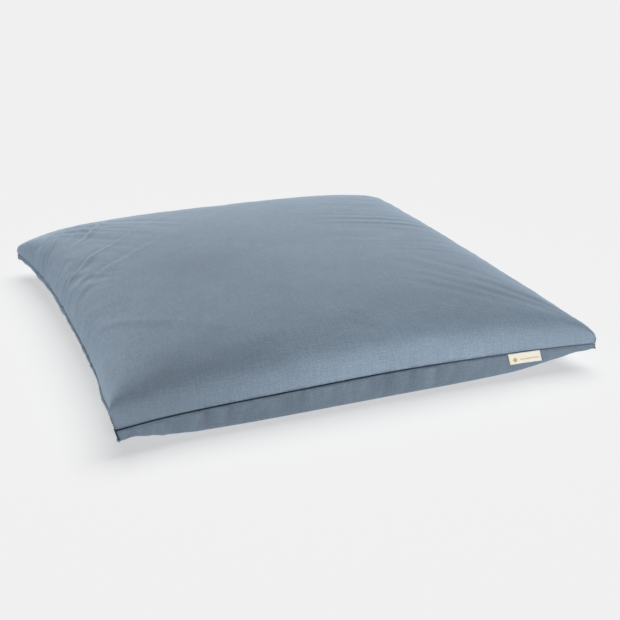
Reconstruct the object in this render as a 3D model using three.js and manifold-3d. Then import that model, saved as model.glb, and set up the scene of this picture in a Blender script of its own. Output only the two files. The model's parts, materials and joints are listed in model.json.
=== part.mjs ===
// Square floor cushion. A cover of two canvas panels, sewn round their edges with boxed corners
// and a coil zip in the back seam, holds a calico pad of wadding and fibre.
// Millimetres, +Z up. The origin is on the floor under the middle of the cushion, and the front,
// which carries the label, faces -Y.
import * as THREE from 'three';
import { mergeVertices } from 'three/addons/utils/BufferGeometryUtils.js';
import Module from 'manifold-3d';

const wasm = await Module();
wasm.setup();

// ---- overall form of the filled cover ----
const WIDTH = 800; // corner to corner along X
const DEPTH = 800; // corner to corner along Y
const HEIGHT = 139; // floor to crown
const SEAM_HEIGHT = 50; // floor to seam at the middle of a side
const SEAM_CORNER_HEIGHT = 45; // floor to seam at a corner
const SIDE_PULL = 29; // how far the left and right sides draw in at their middle
const FRONT_PULL = 12;
const BACK_PULL = 12;
const PULL_POWER = 4; // higher keeps the draw-in flatter and the corners sharper
const SEAM_DIP_POWER = 3;

// ---- swell of the panels ----
const CROWN_POWER = 2.5; // breadth of the plateau
const TOP_SWELL = 0.24; // lower is steeper at the edge
const UNDER_SWELL = 0.29;
const UNDER_DEPTH = 88; // free depth of the underside below the seam, before the floor flattens it
const EDGE_ROLL = 2; // cloth standing straight above and below the seam line
const CORNER_RISE = 14; // boxed corner seam above the seam line
const CORNER_DROP = 12; // and below it
const CORNER_REACH = 8; // higher keeps the boxing closer to the corner

// ---- cloth and gaps ----
const CLOTH = 1;
const GAP = 0.3; // between pieces that touch or are sewn together
const ALLOWANCE_WIDTH = 8;
const ALLOWANCE_CLEARANCE = 1; // the strip's straight facets to the curved cloth
const ALLOWANCE_HEIGHT = 2.2;
const ALLOWANCE_END = 14; // allowances stop this far from a corner
const TACK_RADIUS = 0.7;

// ---- inner pad ----
const PAD_CLEARANCE = 2; // seam allowances to pad edge
const CASE_CLEARANCE = 1.5; // cover cloth to pad, above and below
const CASE_CLOTH = 0.8;
const WADDING = 15;
const WADDING_EDGE = 8; // the wadding thins towards the pad's edge
const LAYER_GAP = 1.5; // between the pad's layers, over and under
const LAYER_EDGE_GAP = 5; // and round their edges

// ---- zip ----
const ZIP_END = 120; // zip end to corner
const SLOT_FADE = 40; // length over which the opening closes past each zip end
const STRAIGHT_SPARE = 12; // the back edge runs straight this far past each zip end
const ZIP_RECESS = 3; // cover edge to tape face
const TAPE_THICKNESS = 0.5;
const TAPE_WIDTH = 11;
const TAPE_SPARE = 6;
const COIL_RADIUS = 0.8;
const COIL_SPACING = 0.9; // middle of the zip to the near side of each coil
const STOP_LENGTH = 3;
const SLIDER_LENGTH = 9;
const SLIDER_OUTER_WIDTH = 6.4;
const SLOT_CLEARANCE = 0.8; // slider to each panel
const SLIDER_INNER_WIDTH = 7.2;
const SLIDER_WEB = 0.8;
const SLIDER_PLATE = 1;
const BRIDGE_WIDTH = 1.6;
const BRIDGE_SPAN = 6.4; // inside length of the bridge
const BRIDGE_ROOM = 2.2; // inside height of the bridge
const BRIDGE_WALL = 1;
const PULL_THICKNESS = 1.2;
const PULL_EYE_WIDTH = 5.6;
const PULL_TAB_WIDTH = 6.4;
const PULL_LENGTH = 26;
const PULL_BAR = 0.7; // half the width of the bar in the bridge
const PULL_EYE_HOLE = 2.6;

// ---- labels ----
const LABEL_WIDTH = 57;
const LABEL_DROP = 19.5;
const LABEL_LEG = 0.5;
const LABEL_FOLD = 0.6; // space between the two legs
const LABEL_CORNER = 101; // right end of the label to the right corner
const LABEL_CLEARANCE = 0.8;
const CARE_WIDTH = 30;
const CARE_DROP = 20;
const CARE_THICKNESS = 0.4;
const CARE_FROM_END = 50; // care label to the zip's left end

// ---- mesh fineness ----
const CLOTH_CELLS = 16; // one count for every layer, so that their facets stay parallel
const SLOT_LINE = 1 / 2; // the grid line at the zip slot's end, as a share of the half width
const ALLOWANCE_CELLS = 24;
const ROUND_SIDES = 10;

// ---- places worked out from the sizes above ----
const halfWidth = WIDTH / 2;
const halfDepth = DEPTH / 2;
const zipHalf = halfWidth - ZIP_END;
const straightHalf = zipHalf + STRAIGHT_SPARE;
const tapeFace = halfDepth - BACK_PULL - ZIP_RECESS;
const caseMargin = CLOTH + ALLOWANCE_CLEARANCE + ALLOWANCE_WIDTH + PAD_CLEARANCE;
const zipSlot = SLIDER_OUTER_WIDTH + 2 * SLOT_CLEARANCE; // opening between the panels along the zip

// ---- materials ----
function finish(color, roughness, metalness = 0) {
  return new THREE.MeshStandardMaterial({ color, roughness, metalness });
}

const canvas = finish(0x7b8d9f, 0.9);
const navyThread = finish(0x2c3a4a, 0.8);
const zipTape = finish(0x5f7184, 0.9);
const zipCoil = finish(0x55677a, 0.55);
const zipMetal = finish(0x8f9296, 0.35, 0.9);
const creamLabel = finish(0xefe8d6, 0.85);
const whiteLabel = finish(0xf2f2ef, 0.8);
const calico = finish(0xe6dfcf, 0.95);
const wadding = finish(0xf4f3ef, 1);
const fibre = finish(0xf7f7f5, 1);

// ---- form of the cushion ----

function smooth(from, to, value) {
  const t = Math.min(1, Math.max(0, (value - from) / (to - from)));
  return t * t * (3 - 2 * t);
}

// How far a place x along the back edge has flared from the straight zip run to the corner.
function backFlare(x) {
  const past = Math.max(0, Math.abs(x) - straightHalf) / (halfWidth - straightHalf);
  return past * past;
}

// Plan position. u and v run from -1 to 1 across the cushion; margin insets the outline.
function plan(u, v, margin) {
  const front = FRONT_PULL * (1 - Math.abs(u) ** PULL_POWER);
  const back = BACK_PULL * (1 - backFlare(u * halfWidth));
  const side = SIDE_PULL * (1 - Math.abs(v) ** PULL_POWER);
  return [u * (halfWidth - margin - side), v * (halfDepth - margin - (v > 0 ? back : front))];
}

// Height of the seam on the side that lies outwards from (u, v).
function seamHeight(u, v) {
  const far = Math.max(Math.abs(u), Math.abs(v));
  const along = far > 0 ? Math.min(Math.abs(u), Math.abs(v)) / far : 0;
  const onBack = v > 0 && v >= Math.abs(u);
  const dip = onBack ? backFlare(along * halfWidth) : along ** SEAM_DIP_POWER;
  return SEAM_HEIGHT - (SEAM_HEIGHT - SEAM_CORNER_HEIGHT) * dip * far ** CORNER_REACH;
}

function swell(u, v, power) {
  return ((1 - Math.abs(u) ** CROWN_POWER) * (1 - Math.abs(v) ** CROWN_POWER)) ** power;
}

function boxing(u, v) {
  return (Math.abs(u) * Math.abs(v)) ** CORNER_REACH;
}

// Half the opening between the panels at the rim: the sewn seam, or the slot for the zip.
function halfOpening(u, v) {
  const fade = smooth(zipHalf + TAPE_SPARE, zipHalf + TAPE_SPARE + SLOT_FADE, Math.abs(u) * halfWidth);
  const slot = v === 1 ? (zipSlot / 2) * (1 - fade) : 0;
  return Math.max(GAP / 2, slot);
}

function topHeight(u, v, drop) {
  const rise = HEIGHT - SEAM_HEIGHT - EDGE_ROLL - drop;
  const corner = Math.max(0, CORNER_RISE - drop) * boxing(u, v);
  const skin = EDGE_ROLL + corner + rise * swell(u, v, TOP_SWELL);
  return seamHeight(u, v) + Math.max(skin, halfOpening(u, v) + EDGE_ROLL);
}

function underHeight(u, v, lift) {
  const depth = UNDER_DEPTH - lift;
  const corner = Math.max(0, CORNER_DROP - lift) * boxing(u, v);
  const skin = EDGE_ROLL + corner + depth * swell(u, v, UNDER_SWELL);
  return Math.max(lift, seamHeight(u, v) - Math.max(skin, halfOpening(u, v) + EDGE_ROLL));
}

// ---- solids ----

function closed(geometry) {
  geometry.deleteAttribute('normal');
  geometry.deleteAttribute('uv');
  const merged = mergeVertices(geometry);
  merged.computeVertexNormals();
  return merged;
}

// Splits the quads of a box's lower face along the same diagonals as its upper face, so that
// layers one above the other have matching facets.
function matchDiagonals(box) {
  const lower = box.groups.at(-1);
  const index = box.getIndex().array;
  for (let i = lower.start; i < lower.start + lower.count; i += 6) {
    const [a, b, , , c, d] = index.slice(i, i + 6);
    index.set([a, b, c, a, c, d], i);
  }
}

// Places the vertices of a segmented 2 x 2 x 2 box, each coordinate from -1 to 1.
function shapedBox(cells, place) {
  const box = new THREE.BoxGeometry(2, 2, 2, ...cells);
  matchDiagonals(box);
  const position = box.getAttribute('position');
  const onGrid = (value, count) => (2 * Math.round(((value + 1) * count) / 2)) / count - 1;
  for (let i = 0; i < position.count; i += 1) {
    const at = [position.getX(i), position.getY(i), position.getZ(i)];
    const [x, y, z] = at.map((value, axis) => onGrid(value, cells[axis]));
    position.setXYZ(i, ...place(x, y, z));
  }
  return closed(box);
}

// Grid lines crowd towards the edge, where the cloth turns.
function crowd(value) {
  return Math.sin((value * Math.PI) / 2);
}

// Across the width they also shift a little, so that one lies at each end of the zip slot.
function crowdToZip(value) {
  const slotEnd = (zipHalf + TAPE_SPARE) / halfWidth;
  const shift = Math.log((Math.asin(slotEnd) * 2) / Math.PI) / Math.log(SLOT_LINE);
  return crowd(Math.sign(value) * Math.abs(value) ** shift);
}

// One sewn or padded layer over (side 1) or under (side -1) the seam. outer and inner are the
// insets of its two faces: margin from the cover's outline and drop from its skin.
function layer(side, outer, inner, cells) {
  const rimStep = 0.5; // the box's walls have two inner rings, at +-1/3, which lie at the seam
  return shapedBox([cells, cells, 3], (x, y, w) => {
    const [u, v] = [crowdToZip(x), crowd(y)];
    const face = w * side > 0 ? outer : inner;
    const atRim = Math.abs(w) < rimStep;
    const rim = seamHeight(u, v) + side * halfOpening(u, v);
    const skin = side > 0 ? topHeight(u, v, face.drop) : underHeight(u, v, face.drop);
    return [...plan(u, v, face.margin), atRim ? rim : skin];
  });
}

function core(inset, cells) {
  return shapedBox([cells, cells, 1], (x, y, w) => {
    const [u, v] = [crowdToZip(x), crowd(y)];
    const skin = w > 0 ? topHeight(u, v, inset.drop) : underHeight(u, v, inset.drop);
    return [...plan(u, v, inset.margin), skin];
  });
}

function thinner(inset, edge, depth) {
  return { margin: inset.margin + edge, drop: inset.drop + depth };
}

// A strip of sewn allowance inside the cover; edge(s) gives (u, v) for s from -1 to 1.
function allowance(edge, cells) {
  return shapedBox([cells, 1, 1], (s, n, h) => {
    const [u, v] = edge(s);
    const margin = CLOTH + ALLOWANCE_CLEARANCE + (ALLOWANCE_WIDTH * (n + 1)) / 2;
    return [...plan(u, v, margin), seamHeight(u, v) + (h * ALLOWANCE_HEIGHT) / 2];
  });
}

function toManifold(geometry) {
  const merged = closed(geometry.index ? geometry : mergeVertices(geometry));
  return new wasm.Manifold(
    new wasm.Mesh({
      numProp: 3,
      vertProperties: new Float32Array(merged.getAttribute('position').array),
      triVerts: new Uint32Array(merged.getIndex().array),
    }),
  );
}

function fromManifold(solid) {
  const mesh = solid.getMesh();
  const geometry = new THREE.BufferGeometry();
  geometry.setAttribute('position', new THREE.BufferAttribute(mesh.vertProperties, 3));
  geometry.setIndex(new THREE.BufferAttribute(mesh.triVerts, 1));
  geometry.computeVertexNormals();
  return geometry;
}

function extruded(shape, depth) {
  const geometry = new THREE.ExtrudeGeometry(shape, { depth, bevelEnabled: false, curveSegments: 6 });
  return geometry.translate(0, 0, -depth / 2);
}

function rectangle(left, right, low, high) {
  const shape = new THREE.Shape();
  shape.moveTo(left, low);
  shape.lineTo(right, low);
  shape.lineTo(right, high);
  shape.lineTo(left, high);
  return shape;
}

// ---- the object ----
const cushion = new THREE.Group();

function add(name, geometry, material, parent = cushion) {
  const mesh = new THREE.Mesh(geometry, material);
  mesh.name = name;
  parent.add(mesh);
  return mesh;
}

function addCover() {
  const outer = { margin: 0, drop: 0 };
  const inner = thinner(outer, CLOTH, CLOTH);
  add('cover_top_panel', layer(1, outer, inner, CLOTH_CELLS), canvas);
  add('cover_bottom_panel', layer(-1, outer, inner, CLOTH_CELLS), canvas);
}

function addAllowances() {
  const endV = 1 - ALLOWANCE_END / halfDepth;
  const endU = 1 - ALLOWANCE_END / halfWidth;
  const startU = (zipHalf + 2 * TAPE_SPARE) / halfWidth;
  const backU = (s) => startU + ((endU - startU) * (s + 1)) / 2;
  add('seam_allowance_left', allowance((s) => [-1, -s * endV], ALLOWANCE_CELLS), navyThread);
  add('seam_allowance_right', allowance((s) => [1, s * endV], ALLOWANCE_CELLS), navyThread);
  add('seam_allowance_front', allowance((s) => [s * endU, -1], ALLOWANCE_CELLS), navyThread);
  add('seam_allowance_back_right', allowance((s) => [backU(-s), 1], ALLOWANCE_CELLS / 4), navyThread);
  add('seam_allowance_back_left', allowance((s) => [-backU(s), 1], ALLOWANCE_CELLS / 4), navyThread);
}

function addCornerTacks() {
  const height = CORNER_RISE + CORNER_DROP + 2 * EDGE_ROLL;
  const middle = SEAM_CORNER_HEIGHT + (CORNER_RISE - CORNER_DROP) / 2;
  const reach = (TACK_RADIUS + GAP) / Math.SQRT2;
  const names = { front: -1, back: 1 };
  for (const [end, y] of Object.entries(names)) {
    for (const [hand, x] of Object.entries({ left: -1, right: 1 })) {
      const rod = new THREE.CylinderGeometry(TACK_RADIUS, TACK_RADIUS, height, ROUND_SIDES);
      const tack = add(`corner_tack_${end}_${hand}`, rod, navyThread);
      tack.rotation.x = Math.PI / 2;
      tack.position.set(x * (halfWidth + reach), y * (halfDepth + reach), middle);
    }
  }
}

function addTapesAndCoils() {
  const zip = new THREE.Group();
  zip.position.set(0, tapeFace, SEAM_HEIGHT);
  cushion.add(zip);
  for (const [name, side] of [['upper', 1], ['lower', -1]]) {
    const tapeLength = 2 * (zipHalf + TAPE_SPARE);
    const strip = new THREE.BoxGeometry(tapeLength, TAPE_THICKNESS, TAPE_WIDTH);
    const tape = add(`zip_tape_${name}`, strip, zipTape, zip);
    tape.position.set(0, -TAPE_THICKNESS / 2, side * (COIL_SPACING + TAPE_WIDTH / 2));
    const rod = new THREE.CylinderGeometry(COIL_RADIUS, COIL_RADIUS, 2 * zipHalf, ROUND_SIDES);
    const coil = add(`zip_coil_${name}`, rod, zipCoil, zip);
    coil.rotation.z = Math.PI / 2;
    coil.position.set(0, GAP + COIL_RADIUS, side * (COIL_SPACING + COIL_RADIUS));
  }
  const across = 2 * (COIL_SPACING + 2 * COIL_RADIUS);
  for (const [name, side] of [['top', 1], ['bottom', -1]]) {
    const block = new THREE.BoxGeometry(STOP_LENGTH, 2 * COIL_RADIUS, across);
    const stop = add(`zip_${name}_stop`, block, zipMetal, zip);
    stop.position.set(side * (zipHalf + GAP + STOP_LENGTH / 2), GAP + COIL_RADIUS, 0);
  }
}

// The slider's plates lie in front of the coils and behind the tapes, joined by a web that runs
// between the coils. A bridge on the front plate holds the pull's bar.
function sliderSolid() {
  const inside = -TAPE_THICKNESS - 2 * GAP;
  const outside = GAP + 2 * COIL_RADIUS + 2 * GAP;
  const [innerHalf, outerHalf, webHalf] = [SLIDER_INNER_WIDTH / 2, SLIDER_OUTER_WIDTH / 2, SLIDER_WEB / 2];
  const section = new THREE.Shape();
  section.moveTo(-innerHalf, inside - SLIDER_PLATE);
  section.lineTo(innerHalf, inside - SLIDER_PLATE);
  section.lineTo(innerHalf, inside);
  section.lineTo(webHalf, inside);
  section.lineTo(webHalf, outside);
  section.lineTo(outerHalf, outside);
  section.lineTo(outerHalf, outside + SLIDER_PLATE);
  section.lineTo(-outerHalf, outside + SLIDER_PLATE);
  section.lineTo(-outerHalf, outside);
  section.lineTo(-webHalf, outside);
  section.lineTo(-webHalf, inside);
  section.lineTo(-innerHalf, inside);
  const body = extruded(section, SLIDER_LENGTH).rotateY(Math.PI / 2);
  const face = outside + SLIDER_PLATE;
  const reach = BRIDGE_SPAN / 2 + BRIDGE_WALL;
  const sunk = SLIDER_PLATE / 2;
  const arch = rectangle(-reach, reach, face - sunk, face + BRIDGE_ROOM + BRIDGE_WALL);
  arch.holes.push(rectangle(-BRIDGE_SPAN / 2, BRIDGE_SPAN / 2, face - sunk / 2, face + BRIDGE_ROOM));
  const bridge = toManifold(extruded(arch, BRIDGE_WIDTH));
  return { geometry: fromManifold(toManifold(body).add(bridge)), pivot: face + BRIDGE_ROOM / 2 };
}

function pullGeometry() {
  const eyeEnd = BRIDGE_SPAN / 2 + BRIDGE_WALL + 4 * GAP;
  const [eye, tab, hole] = [PULL_EYE_WIDTH / 2, PULL_TAB_WIDTH / 2, PULL_EYE_HOLE / 2];
  const outline = new THREE.Shape();
  outline.moveTo(PULL_BAR, -eye);
  outline.lineTo(PULL_BAR, eye);
  outline.lineTo(-eyeEnd, tab);
  outline.lineTo(tab - PULL_LENGTH, tab);
  outline.absarc(tab - PULL_LENGTH, 0, tab, Math.PI / 2, (3 * Math.PI) / 2, false);
  outline.lineTo(-eyeEnd, -tab);
  outline.holes.push(rectangle(-eyeEnd, -PULL_BAR, -hole, hole));
  return extruded(outline, PULL_THICKNESS).rotateX(Math.PI / 2);
}

function addSliderAndPull() {
  const slider = sliderSolid();
  const group = new THREE.Group();
  group.position.set(zipHalf - SLIDER_LENGTH / 2, tapeFace, SEAM_HEIGHT);
  cushion.add(group);
  add('zip_slider', slider.geometry, zipMetal, group);
  const pull = add('zip_pull', closed(pullGeometry()), zipMetal, group);
  pull.position.y = slider.pivot;
}

// A folded ribbon, open at the seam and hanging from it, turned to follow the front edge.
function addLabel() {
  const half = LABEL_LEG + LABEL_FOLD / 2;
  const slot = LABEL_FOLD / 2;
  const section = new THREE.Shape();
  section.moveTo(-half, 0);
  section.lineTo(-half, half - LABEL_DROP);
  section.absarc(0, half - LABEL_DROP, half, Math.PI, 2 * Math.PI, false);
  section.lineTo(half, 0);
  section.lineTo(slot, 0);
  section.lineTo(slot, half - LABEL_DROP);
  section.absarc(0, half - LABEL_DROP, slot, 0, Math.PI, true);
  section.lineTo(-slot, 0);
  const ribbon = extruded(section, LABEL_WIDTH).rotateX(Math.PI / 2).rotateZ(Math.PI / 2);
  const label = add('side_label', closed(ribbon), creamLabel);
  const u = (halfWidth - LABEL_CORNER - LABEL_WIDTH / 2) / halfWidth;
  const [x, edge] = plan(u, -1, 0);
  const step = 0.01;
  const [nearX, nearY] = plan(u - step, -1, 0);
  const [farX, farY] = plan(u + step, -1, 0);
  const drop = seamHeight(u - step, -1) - seamHeight(u + step, -1);
  label.rotation.z = Math.atan2(farY - nearY, farX - nearX);
  label.rotation.y = Math.atan2(drop, farX - nearX);
  label.position.set(x, edge - half - LABEL_CLEARANCE, seamHeight(u, -1));
}

function addCareLabel() {
  const plate = new THREE.BoxGeometry(CARE_WIDTH, CARE_THICKNESS, CARE_DROP);
  const label = add('care_label', plate, whiteLabel);
  const behindSlider = tapeFace - TAPE_THICKNESS - 2 * GAP - SLIDER_PLATE - 2 * GAP;
  const x = CARE_FROM_END + CARE_WIDTH / 2 - zipHalf;
  label.position.set(x, behindSlider - CARE_THICKNESS / 2, SEAM_HEIGHT - EDGE_ROLL - CARE_DROP / 2);
}

function addPad() {
  const skin = { margin: caseMargin, drop: CLOTH + CASE_CLEARANCE };
  const lining = thinner(skin, CASE_CLOTH, CASE_CLOTH);
  const waddingOut = thinner(lining, LAYER_EDGE_GAP, LAYER_GAP);
  const waddingIn = thinner(waddingOut, WADDING_EDGE, WADDING);
  const fill = thinner(waddingIn, LAYER_EDGE_GAP, LAYER_GAP);
  for (const [name, side] of [['top', 1], ['bottom', -1]]) {
    add(`inner_case_${name}`, layer(side, skin, lining, CLOTH_CELLS), calico);
    add(`wadding_${name}`, layer(side, waddingOut, waddingIn, CLOTH_CELLS), wadding);
  }
  add('fill_core', core(fill, CLOTH_CELLS), fibre);
}

addCover();
addAllowances();
addCornerTacks();
addTapesAndCoils();
addSliderAndPull();
addLabel();
addCareLabel();
addPad();

export default cushion;
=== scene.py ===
"""Floor cushion: a canvas cover with boxed corners, a back zip and a side label, over its pad."""

import json
import math
from collections import namedtuple

import bmesh
import bpy
import numpy as np
from mathutils import Matrix, Vector, noise
from mathutils.bvhtree import BVHTree


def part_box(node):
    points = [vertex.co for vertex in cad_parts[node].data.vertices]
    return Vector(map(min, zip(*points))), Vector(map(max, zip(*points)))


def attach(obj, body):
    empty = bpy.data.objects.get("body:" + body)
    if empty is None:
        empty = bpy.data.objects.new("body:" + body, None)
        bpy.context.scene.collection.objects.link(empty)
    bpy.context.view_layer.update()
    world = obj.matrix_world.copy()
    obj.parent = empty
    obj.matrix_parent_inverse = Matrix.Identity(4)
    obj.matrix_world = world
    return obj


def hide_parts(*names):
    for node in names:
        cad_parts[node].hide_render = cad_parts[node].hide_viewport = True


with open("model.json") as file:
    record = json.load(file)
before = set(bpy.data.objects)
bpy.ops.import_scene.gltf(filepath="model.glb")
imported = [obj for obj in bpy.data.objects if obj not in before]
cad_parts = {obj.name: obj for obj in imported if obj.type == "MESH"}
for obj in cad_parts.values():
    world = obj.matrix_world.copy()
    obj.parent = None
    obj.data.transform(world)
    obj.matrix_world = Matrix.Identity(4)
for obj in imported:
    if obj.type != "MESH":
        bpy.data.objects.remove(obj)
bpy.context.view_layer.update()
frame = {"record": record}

bl_info = {
    "name": "Floor Cushion",
    "version": (1, 0, 0),
    "blender": (4, 5, 0),
    "location": "3D View > Sidebar > Cushion",
    "description": "Builds a square floor cushion with a zipped canvas cover and a fibre pad",
    "category": "Object",
}



def corners_of(node):
    """The lowest and the highest corner of a CAD node."""
    return tuple(Vector(corner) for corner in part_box(node))


COVER_HIGH = corners_of("cover_top_panel")[1]
TAPE_HIGH = corners_of("zip_tape_upper")[1]
COIL_LOW, COIL_HIGH = corners_of("zip_coil_upper")
JOINTS = {joint["name"]: joint for joint in frame["record"]["behaviour"]["joints"]}

HALF = COVER_HIGH.x  # half the distance between two corners
CROWN = COVER_HIGH.z
ZIP_HALF = TAPE_HIGH.x
SEAM_LEVEL = JOINTS["zip_pull_swing"]["pos_m"][2]  # middle of the zip
LABEL_MIDDLE = JOINTS["side_label_flip"]["pos_m"][0]


# ---- sizes and colours that a user would change ----


class CoverSizes(bpy.types.PropertyGroup):
    """Form of the filled cover"""

    seam_height: bpy.props.FloatProperty(
        name="Seam height", description="Floor to seam at the middle of a side", default=0.050, unit="LENGTH"
    )
    corner_height: bpy.props.FloatProperty(
        name="Corner height", description="Floor to seam at a corner", default=0.045, unit="LENGTH"
    )
    side_pull: bpy.props.FloatProperty(
        name="Side pull", description="Draw-in of the left and right sides", default=0.029, unit="LENGTH"
    )
    front_pull: bpy.props.FloatProperty(
        name="Front pull", description="Draw-in of the front side", default=0.012, unit="LENGTH"
    )
    back_pull: bpy.props.FloatProperty(
        name="Back pull", description="Draw-in of the zipped side", default=0.012, unit="LENGTH"
    )
    top_swell: bpy.props.FloatProperty(
        name="Top swell", description="Lower is steeper at the edge of the top", default=0.24
    )
    under_swell: bpy.props.FloatProperty(
        name="Under swell", description="Lower is steeper at the edge of the underside", default=0.29
    )
    under_depth: bpy.props.FloatProperty(
        name="Under depth", description="Free depth below the seam", default=0.088, unit="LENGTH"
    )
    corner_rise: bpy.props.FloatProperty(
        name="Corner rise", description="Boxed corner above the seam", default=0.014, unit="LENGTH"
    )
    corner_drop: bpy.props.FloatProperty(
        name="Corner drop", description="Boxed corner below the seam", default=0.012, unit="LENGTH"
    )
    cloth: bpy.props.FloatProperty(
        name="Cloth", description="Thickness of the canvas", default=0.001, unit="LENGTH"
    )
    allowance: bpy.props.FloatProperty(
        name="Seam allowance", description="Cloth past the seam, inside", default=0.010, unit="LENGTH"
    )
    cells: bpy.props.IntProperty(
        name="Cells", description="Mesh cells from the middle to an edge", default=104
    )
    trial_cells: bpy.props.IntProperty(
        name="Trial cells", description="Cells of the simulated cloth, middle to edge", default=60
    )
    frames: bpy.props.IntProperty(name="Frames", description="Steps of the cloth simulation", default=18)
    pressure: bpy.props.FloatProperty(
        name="Pressure", description="How hard the filling pushes in the simulation", default=1.5
    )
    excess: bpy.props.FloatProperty(
        name="Excess", description="Share by which the cloth is cut too large for the pad", default=0.006
    )
    cap: bpy.props.FloatProperty(
        name="Cap", description="The most that the simulation moves the cloth", default=0.0025, unit="LENGTH",
        precision=5
    )
    fold_share: bpy.props.FloatProperty(
        name="Fold share", description="How much of the simulated folds the cloth keeps", default=0.8
    )


class ClothLook(bpy.types.PropertyGroup):
    """Colours and weave of the canvas"""

    colour: bpy.props.FloatVectorProperty(
        name="Colour", description="Mid tone of the canvas", default=(0.235, 0.305, 0.385), subtype="COLOR"
    )
    pale: bpy.props.FloatVectorProperty(
        name="Pale threads", description="Lightest threads", default=(0.385, 0.465, 0.545), subtype="COLOR"
    )
    deep: bpy.props.FloatVectorProperty(
        name="Deep threads", description="Darkest threads", default=(0.130, 0.185, 0.255), subtype="COLOR"
    )
    # painted shade: the colour deep in the seam's groove
    groove_shade: bpy.props.FloatVectorProperty(
        name="Seam shade", description="Colour deep in the seam", default=(0.016, 0.030, 0.050),
        subtype="COLOR"
    )
    pitch: bpy.props.FloatProperty(
        name="Thread pitch", description="Distance between threads", default=0.0007,
        unit="LENGTH", precision=5
    )


class Studio(bpy.types.PropertyGroup):
    """Camera and light"""

    azimuth: bpy.props.FloatProperty(
        name="Azimuth", description="Camera's turn to the left of the front", default=math.radians(-22.04),
        subtype="ANGLE"
    )
    elevation: bpy.props.FloatProperty(
        name="Elevation", description="Camera's height angle", default=math.radians(22.15), subtype="ANGLE"
    )
    distance: bpy.props.FloatProperty(
        name="Distance", description="Camera to the cushion's middle", default=1.994, unit="LENGTH"
    )
    right: bpy.props.FloatProperty(
        name="Right", description="Camera moved to its own right", default=0.0599, unit="LENGTH"
    )
    up: bpy.props.FloatProperty(
        name="Up", description="Camera moved up in its own frame", default=-0.0231, unit="LENGTH"
    )
    lens: bpy.props.FloatProperty(name="Lens", description="Focal length in millimetres", default=64.19)


class ZipSizes(bpy.types.PropertyGroup):
    """Zip, slider and pull"""

    tape_gap: bpy.props.FloatProperty(
        name="Tape gap", description="Space between the two tapes", default=0.0012,
        unit="LENGTH", precision=5
    )
    coil_gap: bpy.props.FloatProperty(
        name="Coil gap", description="Space between the two coils", default=0.0011,
        unit="LENGTH", precision=5
    )
    coil_pitch: bpy.props.FloatProperty(
        name="Coil pitch", description="Distance between turns", default=0.0014,
        unit="LENGTH", precision=5
    )
    coil_wire: bpy.props.FloatProperty(
        name="Coil wire", description="Radius of the coil's wire", default=0.00028,
        unit="LENGTH", precision=5
    )
    plate: bpy.props.FloatProperty(
        name="Plate", description="Thickness of the slider's plates", default=0.001,
        unit="LENGTH", precision=5
    )
    outer_width: bpy.props.FloatProperty(
        name="Outer width", description="Width of the slider's outer plate", default=0.0064, unit="LENGTH"
    )
    bridge_room: bpy.props.FloatProperty(
        name="Bridge room", description="Height inside the bridge", default=0.0022, unit="LENGTH"
    )
    bridge_wall: bpy.props.FloatProperty(
        name="Bridge wall", description="Thickness of the bridge", default=0.001, unit="LENGTH"
    )
    bridge_width: bpy.props.FloatProperty(
        name="Bridge width", description="Width of the bridge", default=0.0016, unit="LENGTH"
    )
    pull_bar: bpy.props.FloatProperty(
        name="Pull bar", description="Half the width of the bar in the bridge", default=0.0007, unit="LENGTH"
    )
    eye_width: bpy.props.FloatProperty(
        name="Eye width", description="Width of the pull's eye", default=0.0056, unit="LENGTH"
    )
    eye_hole: bpy.props.FloatProperty(
        name="Eye hole", description="Width of the hole in the eye", default=0.0026, unit="LENGTH"
    )
    eye_end: bpy.props.FloatProperty(
        name="Eye end", description="Pivot to the far end of the hole", default=0.0054, unit="LENGTH"
    )
    metal: bpy.props.FloatVectorProperty(
        name="Metal", description="Colour of the slider, pull and stops", default=(0.46, 0.46, 0.46),
        subtype="COLOR"
    )
    tape: bpy.props.FloatVectorProperty(
        name="Tape", description="Colour of the tapes", default=(0.105, 0.150, 0.205), subtype="COLOR"
    )


class LabelSizes(bpy.types.PropertyGroup):
    """Side label"""

    label_width: bpy.props.FloatProperty(
        name="Label width", description="Along the seam", default=0.057, unit="LENGTH"
    )
    label_drop: bpy.props.FloatProperty(
        name="Label drop", description="Seam to the fold", default=0.0187, unit="LENGTH"
    )
    label_cloth: bpy.props.FloatProperty(
        name="Label cloth", description="Thickness of the ribbon", default=0.0004,
        unit="LENGTH", precision=5
    )
    label_fold: bpy.props.FloatProperty(
        name="Label fold", description="Space between the two legs", default=0.0008,
        unit="LENGTH", precision=5
    )
    label_lean: bpy.props.FloatProperty(
        name="Label lean", description="Sideways per length, towards the cushion", default=0.0
    )
    label_slant: bpy.props.FloatProperty(
        name="Label slant", description="Sideways per length, along the seam", default=0.32
    )
    ribbon: bpy.props.FloatVectorProperty(
        name="Ribbon", description="Ground of the label", default=(0.97, 0.93, 0.81), subtype="COLOR"
    )
    mark: bpy.props.FloatVectorProperty(
        name="Mark", description="Woven marks on the label", default=(0.62, 0.36, 0.06), subtype="COLOR"
    )


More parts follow.
